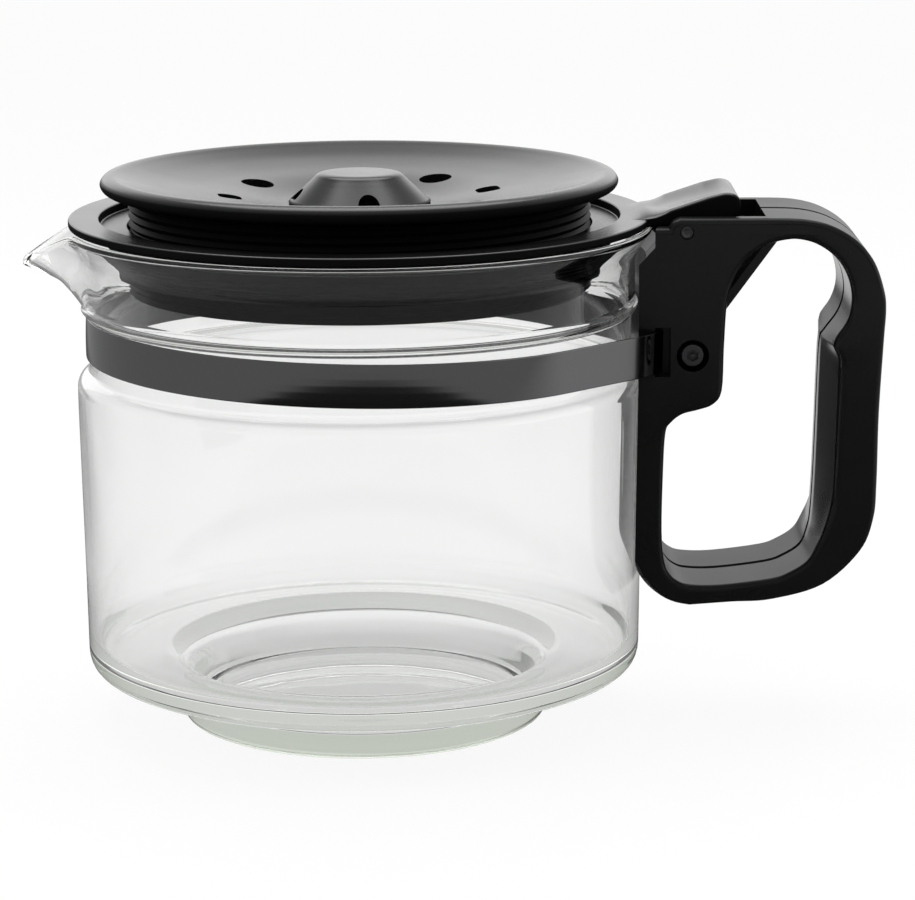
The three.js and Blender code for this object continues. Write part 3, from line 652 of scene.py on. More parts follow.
def jug_profile():
    """The outside line, a round rim and the inside line; the wall keeps its thickness above the base."""
    half_wall = WALL / 2
    outside = softened([
        (0, 0), (FOOT_R - 0.1, 0, 2.6), (FOOT_R - 0.3, FOOT_H, 2.6), (BASE_R, FOOT_H, 5.2),
        (BASE_R + TAPER, WALL_Z)], 0, 8, False)[:-1]
    inside = softened([
        (BASE_R + TAPER - WALL, WALL_Z), (BASE_R - WALL, FLOOR_Z, 6.5), (LIP_R, FLOOR_Z, 5.5),
        (WELL_R, WELL_Z, 3.0), (0, WELL_Z)], 0, 8, False)[1:]
    middle = softened([
        (BASE_R + TAPER - half_wall, WALL_Z), (BODY_R - half_wall, SHOULDER_Z - 6, 3),
        (BODY_R - half_wall, SHOULDER_Z + 0.7, 2.4), (GROOVE_R - half_wall, GROOVE_Z + 0.2, 1.4),
        (GROOVE_R - half_wall, BEAD_Z + 0.1, 0.8), (BEAD_R - half_wall + 0.25, BEAD_Z + BEAD_H * 0.5, 1.0),
        (NECK_R - half_wall, NECK_Z + 0.2, 1.2), (NECK_R - half_wall, FLARE_Z - 4)], 0, 8, False)
    middle += smoothed([
        (NECK_R - half_wall, FLARE_Z - 3), (NECK_R - half_wall + 0.1, FLARE_Z),
        (NECK_R - half_wall + 1.4, FLARE_Z + 3.0), (RIM_R - 1.6, RIM_Z - 1.8),
        (RIM_R - 0.95, RIM_Z - 0.95)], 6)
    inner = []
    for i, (r, z) in enumerate(middle):
        along = Vector(middle[min(i + 1, len(middle) - 1)]) - Vector(middle[max(i - 1, 0)])
        along.normalize()
        half = half_wall + RIM_SWELL * smoothstep(z, RIM_Z - 4, RIM_Z)
        outside.append((r + along.y * half, z - along.x * half))
        inner.append((r - along.y * half, z + along.x * half))
    end = Vector(middle[-1])
    across = Vector(outside[-1]) - end
    for k in range(1, RIM_STEPS):
        t = math.pi * k / RIM_STEPS
        outside.append(tuple(end + across * math.cos(t) + Vector((-across.y, across.x)) * math.sin(t)))
    return outside + inner[::-1] + inside


jug = revolved("jug_glass", jug_profile(), ROUND_STEPS, jug_point)
dress(jug, "jug", "glass_jug", glass, sharp=70, weighted=False)


# Neck band
def band_leave():
    """The angle, each side of the handle, at which the band leaves the groove for its slot."""
    mid = GROOVE_R + BAND_GAP + BAND_T / 2
    x = HOOK_X + BEND_SHARE_X * BAND_BEND
    y = HALF_W + BEND_SHARE_Y * BAND_BEND
    return math.atan2(y, x) + math.acos(mid / math.hypot(x, y))


def band_path():
    """The middle line from one slot round the groove to the other, each end bent into its slot."""
    mid = GROOVE_R + BAND_GAP + BAND_T / 2
    leave = band_leave()
    along = Vector((math.sin(leave), math.cos(leave)))
    start = Vector((mid * math.cos(leave), -mid * math.sin(leave)))
    length = (HOOK_DEPTH - HALF_W - start.y) / along.y - BAND_BEND
    strip = []
    for k in range(STRIP_STEPS + 1):
        back = length * (k / STRIP_STEPS) ** 1.5
        bend = BAND_BEND * max(0.0, 1 - back / BEND_LENGTH) ** 2
        strip.append(tuple(start + along * (length - back) + Vector((-along.y, along.x)) * bend))
    sweep = 2 * math.pi - 2 * leave
    turns = [-leave - sweep * i / BAND_STEPS for i in range(1, BAND_STEPS)]
    ring = [(mid * math.cos(turn), mid * math.sin(turn)) for turn in turns]
    return strip + ring + [(x, -y) for x, y in reversed(strip)]


def band_mesh():
    """A slightly crowned section carried along the path, and the whole band tilted."""
    path = band_path()
    heights = [BAND_LOW + (BAND_TOP - BAND_LOW) * k / 6 for k in range(7)]
    inner = [(-BAND_T / 2, z) for z in reversed(heights)]
    section = softened(inner + [(BAND_T / 2, z) for z in heights], BAND_EDGE, 3)
    points = []
    n = len(section)
    mid_z = (BAND_LOW + BAND_TOP) / 2
    for i, (x, y) in enumerate(path):
        ax, ay = path[max(0, i - 1)]
        bx, by = path[min(len(path) - 1, i + 1)]
        span = math.hypot(bx - ax, by - ay)
        bulge = BAND_BULGE * (1 - smoothstep(x, *CROWN_END_X))
        for off, z in section:
            pz = z - mid_z
            bulged = off + bulge * (1 - (2 * pz / (BAND_TOP - BAND_LOW)) ** 2)
            px = x - (by - ay) / span * bulged
            py = y + (bx - ax) / span * bulged
            points.append((px * math.cos(BAND_TILT) + pz * math.sin(BAND_TILT), py,
                           mid_z + pz * math.cos(BAND_TILT) - px * math.sin(BAND_TILT)))
    faces = [tuple(range(n)), tuple(range(len(points) - n, len(points)))]
    for i in range(len(path) - 1):
        for k in range(n):
            m = (k + 1) % n
            faces.append((i * n + k, i * n + m, i * n + n + m, i * n + n + k))
    return add("band_strip", points, faces)


band = band_mesh()
dress(band, "jug", "neck_band", band_metal)
band.data.materials.append(band_inside_painted_shade)  # painted shade: a darker copy of the band metal for the faces that look at the glass
for face in band.data.polygons:
    if face.normal.xy.dot(face.center.xy.normalized()) < -0.5:
        face.material_index = 1

# Handle shells
OPEN_W = GRIP_X - CHEEK_X
LOW_W = GRIP_X - LEG_X
outer_edge = smoothed([
    (FACE + 10, BAR_Z), (FACE + 20, BAR_Z + 0.7), (RIGHT - 26, BAR_Z + 1.3), (RIGHT - 13.8, BAR_Z + 4.9),
    (RIGHT - 5.1, BAR_Z + 13), (RIGHT - 2.0, BAR_Z + 21), (RIGHT - 1.4, BAR_Z + 30),
    (RIGHT - 1.2, (BAR_Z + CHEEK_TOP) / 2), (RIGHT - 0.4, CHEEK_TOP - 29.5), (RIGHT, CHEEK_TOP - 21.7),
    (RIGHT - 0.6, CHEEK_TOP - 17.0), (RIGHT - 2.9, CHEEK_TOP - 10.6), (RIGHT - 6.9, CHEEK_TOP - 5.6),
    (RIGHT - 12.7, CHEEK_TOP - 2.0), (RIGHT - 19.5, CHEEK_TOP - 0.3), (RIGHT - 28.5, CHEEK_TOP)], 6)
handle_outline = (
    smoothed([(FACE - 8, BAR_Z + 15), (FACE - 3.5, BAR_Z + 10.3), (FACE - 2.2, BAR_Z + 7.8),
              (FACE + 0.1, BAR_Z + 4.8), (FACE + 3.3, BAR_Z + 2.2), (FACE + 6.5, BAR_Z + 0.7),
              (FACE + 10, BAR_Z)], 5)[:-1]
    + outer_edge
    + smoothed([(PIN_X - 1.4, CHEEK_TOP), (PIN_X - 3.0, CHEEK_TOP - 0.7), (PIN_X - 4.2, CHEEK_TOP - 2.3)], 4)
    + [(FACE - 8, CHEEK_TOP - 2.3)])
finger_opening = smoothed([
    (CHEEK_X + 0.4, CHEEK_TOP - 22.4), (CHEEK_X, CHEEK_TOP - 31), (CHEEK_X - 0.4, CHEEK_LOW + 4.2),
    (CHEEK_X - 2.5, CHEEK_LOW + 0.9), (CHEEK_X - 6, CHEEK_LOW - 0.4), (LEG_X + 4.4, CHEEK_LOW - 1.4),
    (LEG_X + 1.8, CHEEK_LOW - 3.4), (LEG_X + 0.5, CHEEK_LOW - 6), (LEG_X, CHEEK_LOW - 16),
    (LEG_X - 0.2, BAR_TOP + 13), (LEG_X + 0.5, BAR_TOP + 5.6), (LEG_X + 1.7, BAR_TOP + 2.8),
    (LEG_X + 3.6, BAR_TOP + 1.0), (LEG_X + 6.6, BAR_TOP), (LEG_X + LOW_W * 0.37, BAR_TOP - 0.1),
    (GRIP_X - LOW_W * 0.31, BAR_TOP + 1.4), (GRIP_X - LOW_W * 0.19, BAR_TOP + 3.0),
    (GRIP_X - 3.2, BAR_TOP + 5.7), (GRIP_X - 1.6, BAR_TOP + 9.7),
    (GRIP_X - 0.9, BAR_TOP + 13.5), (GRIP_X - 0.4, BAR_TOP + 22), (GRIP_X, CHEEK_TOP - 52.7),
    (GRIP_X + 0.3, CHEEK_TOP - 40.4), (GRIP_X + 0.7, CHEEK_TOP - 31.7), (GRIP_X + 1.8, CHEEK_TOP - 29.4),
    (GRIP_X + 5.0, CHEEK_TOP - 24.9), (GRIP_X + 6.3, CHEEK_TOP - 20.2), (GRIP_X + 5.8, CHEEK_TOP - 15.5),
    (GRIP_X + 4.0, CHEEK_TOP - 11.4), (GRIP_X + 1.4, CHEEK_TOP - 8.4),
    (GRIP_X - OPEN_W * 0.085, ARCH_Z - 1.2), (GRIP_X - OPEN_W * 0.22, ARCH_Z - 0.2),
    (GRIP_X - OPEN_W * 0.35, ARCH_Z),
    (CHEEK_X + OPEN_W * 0.46, ARCH_Z - 0.9), (CHEEK_X + OPEN_W * 0.33, ARCH_Z - 2.6),
    (CHEEK_X + OPEN_W * 0.2, ARCH_Z - 5.1), (CHEEK_X + OPEN_W * 0.09, ARCH_Z - 9.6),
    (CHEEK_X + 0.9, ARCH_Z - 13.4)], 4, True)
web_low = Vector((CHEEK_X + 0.4, ARCH_Z - 17.0))
web_high = Vector((POCKET_END + 3.4, ARCH_Z + 0.4))
web_along = (web_high - web_low).normalized()
web_in = Vector((-web_along.y, web_along.x)) * 2.0
web_outline = [web_low, web_high, web_high + web_in, web_low + web_in, web_low + Vector((-2.0, -0.4))]
HOLLOW_X = HOOK_X + 4.5
cheek_hollow = [
    (HOLLOW_X, CHEEK_LOW + 2.6), (CHEEK_X - 6.0, CHEEK_LOW + 3.6), (CHEEK_X - 3.0, CHEEK_LOW + 6),
    (CHEEK_X - 2.6, web_low.y + web_in.y - 1.0), (web_low.x + web_in.x, web_low.y + web_in.y),
    (web_high.x + web_in.x - 3.4, web_high.y + web_in.y - 4.6), (POCKET_END - 4.0, POCKET_LOW + 0.1),
    (PIN_X - 2.6, POCKET_LOW + 0.1), (PIN_X - 3.0, FLARE_Z), (HOLLOW_X, FLARE_Z - 12)]
ROUND_LOW = BAR_TOP + 4
ROUND_HIGH = CHEEK_TOP - 27.5
FADE_LOW = 19
FADE_HIGH = 7
ROUND_MIX = 0.75
SIDE_LEVELS = (16.8, 15.6, 14.0, 12.0, 10.0, 8.0, 6.4, 5.4, 4.7, 4.2)


def grip_rounding(p, in_hole):
    """The grip's inner edges fall away towards the side faces."""
    x, y, z = p
    if not in_hole or x < GRIP_X - 3.6:
        return p
    fade = smoothstep(z, ROUND_LOW, ROUND_LOW + FADE_LOW)
    fade *= 1 - smoothstep(z, ROUND_HIGH - FADE_HIGH, ROUND_HIGH)
    share = min(max((abs(y) - GRIP_FLAT) / (HALF_W - GRIP_FLAT), 0.0), 1.0)
    slope = ROUND_MIX * share + (1 - ROUND_MIX) * (1 - math.sqrt(1 - share * share))
    return x + GRIP_ROUND * fade * slope, y, z


def prism(name, outline, y0, y1):
    return slab(name, [tuple(p)[:2] for p in outline], [(y0, 0), (y1, 0)])


def block(name, x0, x1, y0, y1, z0, z1):
    return prism(name, [(x0, z0), (x1, z0), (x1, z1), (x0, z1)], y0, y1)


def rod(name, radius, y0, y1, x, z, segments=ROD_STEPS):
    return rod_y(name, [(0, y0), (radius, y0), (radius, y1), (0, y1)], x, z, segments)


def handle_shell(name, node, side):
    """One half of the handle; side is -1 towards the camera and 1 away from it."""
    levels = [(side * (HALF_W - deep), inset) for deep, inset in round_edge(EDGE, EDGE_STEPS)]
    levels += [(side * y, 0) for y in (*SIDE_LEVELS, SEAM + SEAM_EDGE)]
    levels.append((side * SEAM, SEAM_DEEP))
    shell = slab(name, handle_outline, levels, finger_opening, grip_rounding)
    inner = sorted((side * (HALF_W - PLATE), -side))
    rib = sorted((side * (HALF_W - PLATE + 0.2), side * SEAM))
    carve(shell, [prism("hollow", cheek_hollow, *inner)])
    carve(shell, [block("pocket", FACE - 14, POCKET_END, -POCKET_HALF, POCKET_HALF, POCKET_LOW,
                        CHEEK_TOP + 8)])
    carve(shell, [rod("boss", BOSS_R, *rib, SCREW_X, SCREW_Z)], "UNION")
    carve(shell, [prism("web", web_outline, *rib)], "UNION")
    jug_side = [(0, BAR_Z - 5), (FACE - 0.74, BAR_Z - 5), (FACE, SHOULDER_Z), (FACE, FLARE_Z),
                (RIM_R + 2.2, RIM_Z - 3.6), (RIM_R + 2.2, CHEEK_TOP + 5), (0, CHEEK_TOP + 5)]
    carve(shell, [revolved("room", jug_side, ROOM_STEPS)])
    out = sorted((side * (HALF_W - PLATE - 1), side * (HALF_W + 1)))
    hook_drop = HOOK_X * math.sin(BAND_TILT)
    slot_x = HOOK_X - SLOT_BACK
    carve(shell, [block("slot", slot_x, slot_x + SLOT_W, *out, BAND_LOW - hook_drop - SLOT_PLAY,
                        BAND_TOP - hook_drop + SLOT_PLAY)])
    carve(shell, [rod("bore", SCREW_BORE_R, -HALF_W - 1, HALF_W + 1, SCREW_X, SCREW_Z)])
    carve(shell, [rod("pin_bore", PIN_R + PIN_PLAY, -HALF_W - 1, HALF_W + 1, PIN_X, PIN_Z)])
    if side < 0:
        recess = [(0, -HALF_W - 1), (4.8, -HALF_W - 1), (3.8, -HALF_W), (3.4, -HALF_W + 0.4),
                  (3.4, -HALF_W + 2.5), (0, -HALF_W + 2.5)]
        carve(shell, [rod_y("recess", recess, SCREW_X, SCREW_Z, ROD_STEPS)])
    else:
        carve(shell, [rod("recess", NUT_R + 0.2, HALF_W - 3.0, HALF_W + 1, SCREW_X, SCREW_Z, HEX_STEPS)])
    dress(shell, "jug", node, handle_plastic)


handle_shell("handle_shell_front", "handle_front_half", -1)
handle_shell("handle_shell_rear", "handle_rear_half", 1)

# Screw with a six-sided socket, nut and hinge pin
head_out = -HALF_W + SUNK
head_in = head_out + HEAD_H
nut_low = HALF_W - SUNK - NUT_H
screw = rod_y("socket_screw", softened([
    (0, head_out, 0), (HEAD_R, head_out, 0.35), (HEAD_R, head_in, 0.1), (SHANK_R, head_in, 0.1),
    (SHANK_R, nut_low + 2.2, 0.3), (0, nut_low + 2.2, 0)], 0.1), SCREW_X, SCREW_Z, ROD_STEPS)
socket = rod_y("socket", [
    (0.45, head_out - 1), (1.5, head_out - 1), (1.5, head_out + 1.1), (0.45, head_out + 1.1)],
    SCREW_X, SCREW_Z, HEX_STEPS)
carve(screw, [socket])
dress(screw, "jug", "clamp_screw", black_steel)
nut = rod_y("hex_nut", [
    (0, nut_low), (2.7, nut_low), (NUT_R, nut_low + 0.35), (NUT_R, nut_low + 2.05), (2.7, nut_low + NUT_H),
    (0, nut_low + NUT_H)], SCREW_X, SCREW_Z, HEX_STEPS)
carve(nut, [rod("nut_bore", 1.55, 0, HALF_W + 1, SCREW_X, SCREW_Z)])
dress(nut, "jug", "clamp_nut", plain_steel, sharp=20)
pin = rod_y("lid_pin", softened([
    (0, -HALF_W + 0.6, 0), (0.7, -HALF_W + 0.45, 0.1), (1.1, -HALF_W + 0.2, 0.1),
    (PIN_R, -HALF_W + 0.35, 0.2), (PIN_R, HALF_W - 0.35, 0.2), (1.1, HALF_W - 0.2, 0.1),
    (0.7, HALF_W - 0.45, 0.1), (0, HALF_W - 0.6, 0)], 0.1), PIN_X, PIN_Z, ROD_STEPS)
dress(pin, "jug", "hinge_pin", black_steel)

# Lid ring with its ridged skirt and thumb lever
skirt_low = Vector((SKIRT_R - 4.4, SKIRT_Z))
skirt_high = Vector((SKIRT_R - 0.6, RING_Z - 2.4))
skirt_up = (skirt_high - skirt_low).normalized()
skirt_in = Vector((-skirt_up.y, skirt_up.x))
ridges = []
for share in RIDGE_PLACES:
    at = skirt_low.lerp(skirt_high, share)
    for along, deep in ((-RIDGE_HALF, 0), (0, RIDGE_DEEP), (RIDGE_HALF, 0)):
        ridges.append((*(at + skirt_up * along + skirt_in * deep), 0.1))
ring_loop = softened(
    [(BORE_R, SKIRT_Z, 0.4), (*skirt_low, 0.8)] + ridges
    + [(*skirt_high, 0.8), (SKIRT_R, RING_Z - 1.4, 0.6), (SKIRT_R + 2.0, RING_Z, 0.4),
       (RING_R, RING_Z, 0.7), (RING_R, RING_TOP, 0.7), (TROUGH_R, RING_TOP, 0.5),
       (TROUGH_R - 0.3, TROUGH_Z, 0.4), (BORE_R, TROUGH_Z, 0.2)], 0.3, 5)
lid_ring = revolved("lid_ring_shell", ring_loop, ROUND_STEPS)
lever_outline = softened([
    (TROUGH_R + 1.6, RING_Z + 0.05, 0), (PIN_X - KNUCKLE_R, RING_Z + 0.05, 0.4)]
    + [(x, z, 0) for x, z in arc(PIN_X, PIN_Z, KNUCKLE_R, 182, 330, 14)]
    + [(LEVER_END - 1.3, LEVER_TOP - 5.6, 1.0), (LEVER_END, LEVER_TOP - 3.4, 1.6),
       (LEVER_END - 0.8, LEVER_TOP - 0.7, 1.6), (LEVER_END - 3.4, LEVER_TOP + 0.05, 1.6),
       (LEVER_END - 7.0, LEVER_TOP - 0.8, 1), (PIN_X - 5.5, RING_TOP + 2.6, 2),
       (PIN_X - 9.5, RING_TOP + 1.55, 2), (TROUGH_R + 3.4, RING_TOP + 0.3, 1.5),
       (TROUGH_R + 1.6, RING_TOP - 0.05, 0)], 0.2, 3)


def thumb_hollow(p, in_hole):
    """The lever's top, hollowed for the thumb and lowered into the ring at its root; it has no hole."""
    x, y, z = p
    top_line = RING_TOP + LEVER_RISE + (x - PIN_X + 9.5) * LEVER_SLOPE
    if z < top_line - LEVER_RISE:
        return p
    if z > RING_TOP:
        root = (1 - smoothstep(x, PIN_X - 9, PIN_X)) * (abs(y) / LEVER_HALF) ** 3
        z = RING_TOP + (z - RING_TOP) * (1 - ROOT_DROP * root)
    along = smoothstep(x, PIN_X - 10.5, PIN_X - 5.5) * (1 - smoothstep(x, LEVER_END - 5.5, LEVER_END - 2.2))
    across = max(0.0, 1 - (y / HOLLOW_HALF) ** 2) ** HOLLOW_POWER
    return x, y, z - HOLLOW_DEEP * along * across


lever_levels = [(-LEVER_HALF + deep, inset) for deep, inset in round_edge(LEVER_EDGE, LEVER_EDGE_STEPS)]
lever_levels += [(y, 0) for y in LEVER_LEVELS]
lever_levels += [(-y, inset) for y, inset in reversed(lever_levels[:-1])]
lever = slab("lever", lever_outline, lever_levels, None, thumb_hollow)
carve(lid_ring, [lever], "UNION")
carve(lid_ring, [rod("pin_bore", PIN_R + PIN_PLAY, -LEVER_HALF - 2, LEVER_HALF + 2, PIN_X, PIN_Z)])
dress(lid_ring, "lid_frame", "lid_ring", lid_plastic)


# Sleeve with a right-handed outside thread
def thread_mesh():
    """Columns of points whose crests climb by one lead in a turn, held between the sleeve's two ends."""
    half = THREAD_LEAD / 2
    rows = math.ceil((SLEEVE_TOP - SLEEVE_Z) / half) + 2
    points = []
    for i in range(THREAD_STEPS + 1):
        a = 2 * math.pi * i / THREAD_STEPS
        column = [(SLEEVE_IN, SLEEVE_Z)]
        for k in range(rows + 1):
            z = SLEEVE_Z + (k - 2) * half + THREAD_LEAD * i / THREAD_STEPS
            held = min(max(z, SLEEVE_Z), SLEEVE_TOP)
            crest = abs(1 - abs(math.fmod((held - z) / half, 2)))
            share = crest if k % 2 == 0 else 1 - crest
            column.append((SLEEVE_R - THREAD_H * share, held))
        column.append((SLEEVE_IN, SLEEVE_TOP))
        points += [(r * math.cos(a), r * math.sin(a), z) for r, z in column]
    n = rows + 3
    faces = []
    for i in range(THREAD_STEPS):
        for j in range(n):
            k = (j + 1) % n
            faces.append((i * n + j, (i + 1) * n + j, (i + 1) * n + k))
            faces.append((i * n + j, (i + 1) * n + k, i * n + k))
    return add("threaded_sleeve", points, faces)


sleeve = thread_mesh()
dress(sleeve, "lid_insert", "lid_sleeve", sleeve_plastic_painted_shade, sharp=60, weighted=False)

# Dish with round and oblong vents
dish_top_line = smoothed([
    (KNOB_BASE, DISH_FLOOR), (20, DISH_FLOOR + 0.2), (VENT_RING, DISH_TOP - 5.2),
    (DISH_R - 21, DISH_TOP - 3.9), (DISH_R - 13, DISH_TOP - 2.5), (DISH_R - 7, DISH_TOP - 1.0),
    (DISH_R - 4.2, DISH_TOP - 0.2), (DISH_R - 2.6, DISH_TOP), (DISH_R - 1.0, DISH_TOP - 0.5),
    (DISH_R - 0.2, DISH_TOP - 1.4), (DISH_R, DISH_TOP - 2.2), (DISH_R - 0.5, DISH_TOP - 3.2),
    (DISH_R - 1.6, DISH_TOP - 3.9), (DISH_R - 3.5, DISH_TOP - 4.4), (SLEEVE_R + 1.2, DISH_Z + 0.15)], 4)
dish_loop = (
    [(DISH_HOLE_R, DISH_FLOOR), (16, DISH_FLOOR)] + dish_top_line
    + softened([(SLEEVE_R + 0.4, DISH_Z, 0.1), (SPIGOT_R, DISH_Z, 0.1), (SPIGOT_R, DISH_Z - SPIGOT_H, 0.3),
                (SPIGOT_R - 2.0, DISH_Z - SPIGOT_H, 0.3), (SPIGOT_R - 2.0, DISH_TOP - 4.8, 0.3),
                (DISH_R - 13, DISH_TOP - 4.7, 0), (VENT_RING, DISH_TOP - 7.4, 1),
                (KNOB_BASE, DISH_FLOOR - DISH_T, 1), (DISH_HOLE_R, DISH_FLOOR - DISH_T, 0.2)], 0.2, 3)[1:-1])
dish = revolved("drip_dish", dish_loop, ROUND_STEPS)
vents = []
for i in range(QUARTERS):
    at = DISH_TURN + (i + 0.5) * math.pi / 2
    cx = VENT_RING * math.cos(at)
    cy = VENT_RING * math.sin(at)
    vent_low = DISH_FLOOR - VENT_DEPTH
    hole = [(0, vent_low), (VENT_R, vent_low), (VENT_R, DISH_TOP), (0, DISH_TOP)]
    vents.append(revolved("vent", hole, ROD_STEPS, lambda r, z, a: (
        cx + r * math.cos(a), cy + r * math.sin(a), z)))
    turn = Matrix.Rotation(DISH_TURN + i * math.pi / 2, 3, "Z")
    outline = softened([
        (VENT_RING - VENT_HALF_W, -VENT_HALF_L), (VENT_RING + VENT_HALF_W, -VENT_HALF_L),
        (VENT_RING + VENT_HALF_W, VENT_HALF_L), (VENT_RING - VENT_HALF_W, VENT_HALF_L)], VENT_CORNER, 6)
    points = [turn @ Vector((x, y, z)) for z in (vent_low, DISH_TOP) for x, y in outline]
    n = len(outline)
    faces = [tuple(range(n)), tuple(range(n, 2 * n))]
    faces += [(k, (k + 1) % n, n + (k + 1) % n, n + k) for k in range(n)]
    vents.append(add("vent", points, faces))
carve(dish, vents)
dress(dish, "lid_insert", "lid_dish", lid_plastic)

# Knob with four small arches
knob_loop = (
    [(0, KNOB_TOP), (4, KNOB_TOP)]
    + smoothed([(KNOB_TOP_R - 3.4, KNOB_TOP), (KNOB_TOP_R - 1.8, KNOB_TOP - 0.06),
                (KNOB_TOP_R - 0.6, KNOB_TOP - 0.4), (KNOB_TOP_R + 0.2, KNOB_TOP - 1.1),
                (KNOB_TOP_R + 1.6, KNOB_TOP - 2.4)], 4)
    + softened([(KNOB_BASE - 0.5, KNOB_Z + 0.8, 0.4), (KNOB_BASE, KNOB_Z, 0.2), (COLLAR_R, KNOB_Z, 0.1),
                (COLLAR_R, KNOB_Z - COLLAR_H, 0.2), (COLLAR_IN, KNOB_Z - COLLAR_H, 0.2),
                (COLLAR_IN, KNOB_Z + 0.8, 0.3),
                (KNOB_TOP_R - 1.5, KNOB_TOP - 2.1, 0.5), (KNOB_TOP_R - 2.9, KNOB_TOP - 1.5, 0.5)], 0.2, 3)
    + [(0, KNOB_TOP - 1.5)])
knob = revolved("drip_knob", knob_loop, KNOB_STEPS)
arches = []
for i in range(QUARTERS):
    arch_line = arc(0, KNOB_Z + 0.8, KNOB_ARCH_R, 0, 180, 20)
    arch = prism("arch", arch_line, -KNOB_BASE - 2, -KNOB_TOP_R + 0.5)
    arch.data.transform(Matrix.Rotation(DISH_TURN + i * math.pi / 2, 4, "Z"))
    arches.append(arch)
carve(knob, arches)
dress(knob, "lid_centre", "lid_knob", lid_plastic)

# Camera at the photograph's place
CAMERA_PLACE = (0.0230, -0.81068, 0.240957)
CAMERA_TILT = math.radians(77.716)
CAMERA_ROLL = -0.0049
CAMERA_LENS = 134.96
SENSOR_W = 36
VIEW_END = 50
camera_data = bpy.data.cameras.new("camera")
camera_data.sensor_fit = "HORIZONTAL"
camera_data.sensor_width = SENSOR_W
camera_data.lens = CAMERA_LENS
camera_data.clip_end = VIEW_END
camera = bpy.data.objects.new("camera", camera_data)
camera.matrix_world = (Matrix.Translation(CAMERA_PLACE) @ Matrix.Rotation(CAMERA_TILT, 4, "X")
                       @ Matrix.Rotation(CAMERA_ROLL, 4, "Z"))
bpy.context.scene.collection.objects.link(camera)
bpy.context.scene.camera = camera
bpy.context.scene.view_settings.view_transform = "Standard"


# Floor, world and lamps. DIM and LIT are shares of white that a mirrored ray loses or gets back: painted
# reflections, dark patches and soft shades on the floor and world that only mirrored rays see, in place of a
# studio's dark cards.
FLOOR_HALF = 6.0
FLOOR_DROP = 0.0002
FLOOR_COLOUR = (0.85, 0.85, 0.85, 1)
FLOOR_DIM = 0.67
CARD_DIM = 0.97
SHADE_DIM = 0.22
BEHIND_LIT = 0.45
ASIDE_LIT = 0.27
NEAR_DIM = 0.30
FAR_DIM = 0.9
THROUGH = 0.86
SEEN_GLOW = 0.92
CLEAR_SHADOW = 0.30
PLAIN = 0.55
ABOVE_DIM = 0.6
HIGH_DIM = 0.4
FRONT_DIM = 0.9
LEFT_DIM = 0.75


def ray_kinds(tree):
    """1 or 0: rays that show something, mirrored rays, those outside the glass, rays through glass."""
    path = tree.nodes.new("ShaderNodeLightPath")
    seen = put(tree, "MAXIMUM", path.outputs["Is Camera Ray"], path.outputs["Is Glossy Ray"])
    seen = put(tree, "MAXIMUM", seen, path.outputs["Is Transmission Ray"])
    through = put(tree, "MINIMUM", path.outputs["Transmission Depth"], 1)
    mirrored = put(tree, "MINIMUM", path.outputs["Glossy Depth"], 1)
    return seen, mirrored, times(tree, mirrored, without(tree, through)), through


def floor_material():
    """A pale floor that keeps its shadow and glows white for rays that show it, dimmed in mirrored rays."""
    made, tree, shader = material("floor")
    shader.inputs["Base Color"].default_value = FLOOR_COLOUR
    shader.inputs["Roughness"].default_value = 1.0
    shader.inputs["Specular IOR Level"].default_value = 0.0
    seen, mirrored, outside, through = ray_kinds(tree)
    x, y, z = place_axes(tree, "Object")
    # Painted reflection: dark patches on the floor that only mirrored rays see, one in front of the jug and
    # one round it.
    card = oval(tree, (x, y), (0.01, -0.29), (0.25, 0.30), 0.85, 1.1)
    under = oval(tree, (x, y), (0.02, -0.04), (0.22, 0.20), 0.7, 1.3)
    cards = times(tree, outside, without(tree, put(tree, "MINIMUM", card, under)))
    strip = put(tree, "SUBTRACT", eased(tree, x, -0.3, -0.2), eased(tree, x, -0.06, 0.02))
    shade = times(tree, eased(tree, y, 0.05, 0.2), strip)
    behind = times(tree, eased(tree, y, 0.05, 0.25), eased(tree, x, -0.03, 0.05))
    aside = times(tree, eased(tree, x, 0.15, 0.4), eased(tree, y, -0.2, 0.0))
    lit = put(tree, "MAXIMUM", times(tree, behind, BEHIND_LIT), times(tree, aside, ASIDE_LIT))
    dim = put(tree, "SUBTRACT", put(tree, "ADD", FLOOR_DIM, times(tree, shade, SHADE_DIM)), lit)
    dark = times(tree, mirrored, put(tree, "ADD", dim, times(tree, cards, CARD_DIM - FLOOR_DIM)))
    reach = put(tree, "MAXIMUM", minus(tree, y), put(tree, "ABSOLUTE", x, 0))
    near = times(tree, through, without(tree, eased(tree, reach, 0.15, 0.35)))
    dark = put(tree, "SUBTRACT", dark, times(tree, mirrored, near, FLOOR_DIM - NEAR_DIM))
    far = oval(tree, (x, y), (0, 0), (0.55, 0.55), 0.85, 1.15)
    far = times(tree, far, through, without(tree, eased(tree, y, 0.0, 0.2)))
    dark = put(tree, "MAXIMUM", dark, times(tree, mirrored, far, FAR_DIM))
    clear = times(tree, through, without(tree, mirrored))
    dark = put(tree, "ADD", dark, times(tree, clear, 1 - THROUGH))
    glow = tree.nodes.new("ShaderNodeEmission")
    tree.links.new(without(tree, dark), glow.inputs["Strength"])
    share = put(tree, "ADD", times(tree, seen, SEEN_GLOW), times(tree, mirrored, 1 - SEEN_GLOW))
    share = put(tree, "SUBTRACT", share, times(tree, clear, CLEAR_SHADOW))
    mix = tree.nodes.new("ShaderNodeMixShader")
    tree.links.new(share, mix.inputs["Fac"])
    tree.links.new(shader.outputs["BSDF"], mix.inputs[1])
    tree.links.new(glow.outputs["Emission"], mix.inputs[2])
    tree.links.new(mix.outputs["Shader"], tree.nodes["Material Output"].inputs["Surface"])
    return made


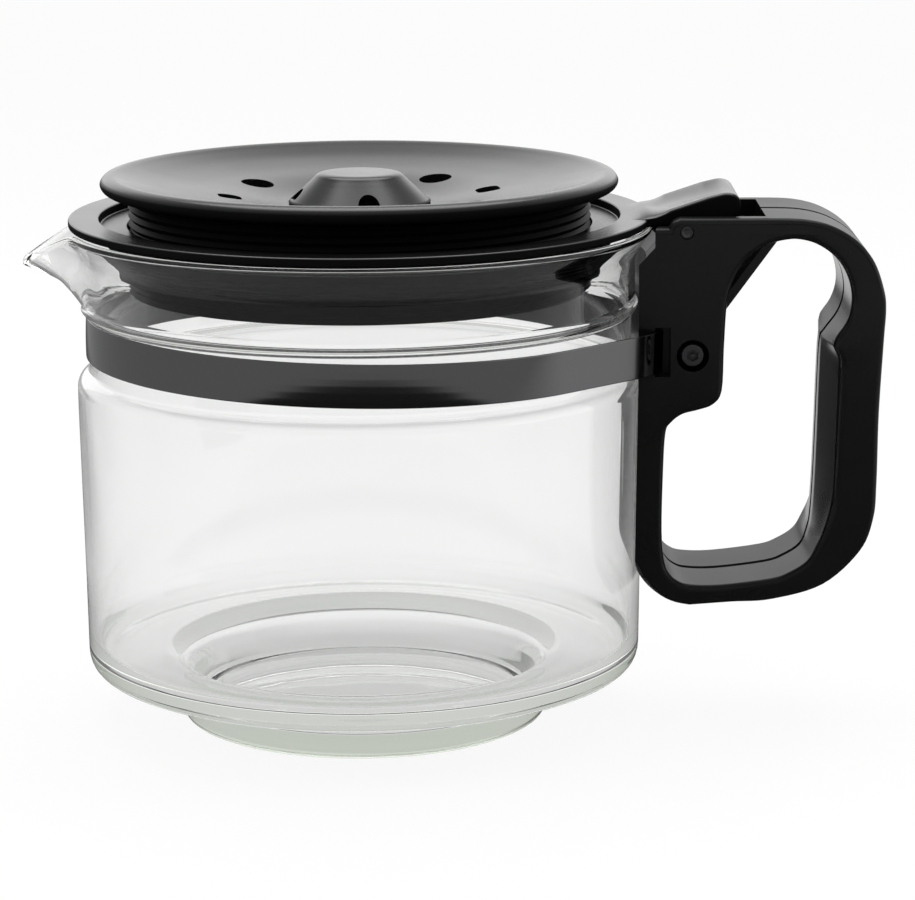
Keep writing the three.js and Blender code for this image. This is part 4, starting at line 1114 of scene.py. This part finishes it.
def light_world(tree):
    """White for rays that show it and PLAIN for the rest, darker in mirrored rays ahead, left and high up."""
    background = tree.nodes["Background"]
    background.inputs["Color"].default_value = (1, 1, 1, 1)
    seen, mirrored, outside, through = ray_kinds(tree)
    x, y, z = place_axes(tree, "Generated")
    above = times(tree, eased(tree, z, 0.15, 0.60), ABOVE_DIM)
    dimmed = times(tree, through, put(tree, "ADD", above, 1 - THROUGH))
    high = times(tree, outside, eased(tree, z, 0.25, 0.75), HIGH_DIM)
    ahead = eased(tree, minus(tree, y), 0.35, 0.75)
    left = times(tree, eased(tree, minus(tree, x), 0.5, 0.85), LEFT_DIM)
    low = without(tree, eased(tree, z, 0.25, 0.55))
    front = times(tree, put(tree, "MAXIMUM", ahead, left), mirrored, low)
    front = times(tree, front, put(tree, "SUBTRACT", FRONT_DIM, dimmed))
    bright = put(tree, "SUBTRACT", put(tree, "SUBTRACT", 1 - PLAIN, dimmed), put(tree, "ADD", front, high))
    level = put(tree, "ADD", PLAIN, times(tree, seen, bright))
    tree.links.new(level, background.inputs["Strength"])


floor_mesh = bpy.data.meshes.new("floor")
floor_mesh.from_pydata([
    (-FLOOR_HALF, -FLOOR_HALF, 0), (FLOOR_HALF, -FLOOR_HALF, 0), (FLOOR_HALF, FLOOR_HALF, 0),
    (-FLOOR_HALF, FLOOR_HALF, 0)], [], [(0, 1, 2, 3)])
floor_mesh.materials.append(floor_material())
floor = bpy.data.objects.new("floor", floor_mesh)
floor.location.z = -FLOOR_DROP
bpy.context.scene.collection.objects.link(floor)

world = bpy.data.worlds.new("world")
bpy.context.scene.world = world
world.use_nodes = True
light_world(world.node_tree)


def lamp(name, place, aim, size, power, mirrored=True):
    """A softbox that lights the object and is not seen itself, in mirrored rays only where asked."""
    data = bpy.data.lights.new(name, "AREA")
    data.shape = "RECTANGLE"
    data.size, data.size_y = size
    data.energy = power
    made = bpy.data.objects.new(name, data)
    made.location = place
    made.rotation_euler = (Vector(aim) - Vector(place)).to_track_quat("-Z", "Y").to_euler()
    made.visible_camera = False
    made.visible_transmission = False
    made.visible_glossy = mirrored
    bpy.context.scene.collection.objects.link(made)


lamp("top_softbox", (0.0, 0.25, 0.95), (0, 0, 0.08), (0.9, 0.7), 7.0)
lamp("back_softbox", (-0.1, 2.4, 0.8), (0, 0, 0.1), (3.2, 1.3), 6.5)
lamp("left_softbox", (-0.9, -0.25, 0.55), (0, 0, 0.07), (0.6, 0.6), 4.0, False)
lamp("right_softbox", (0.95, 0.0, 0.55), (0.03, 0, 0.07), (0.5, 0.6), 3.0, False)
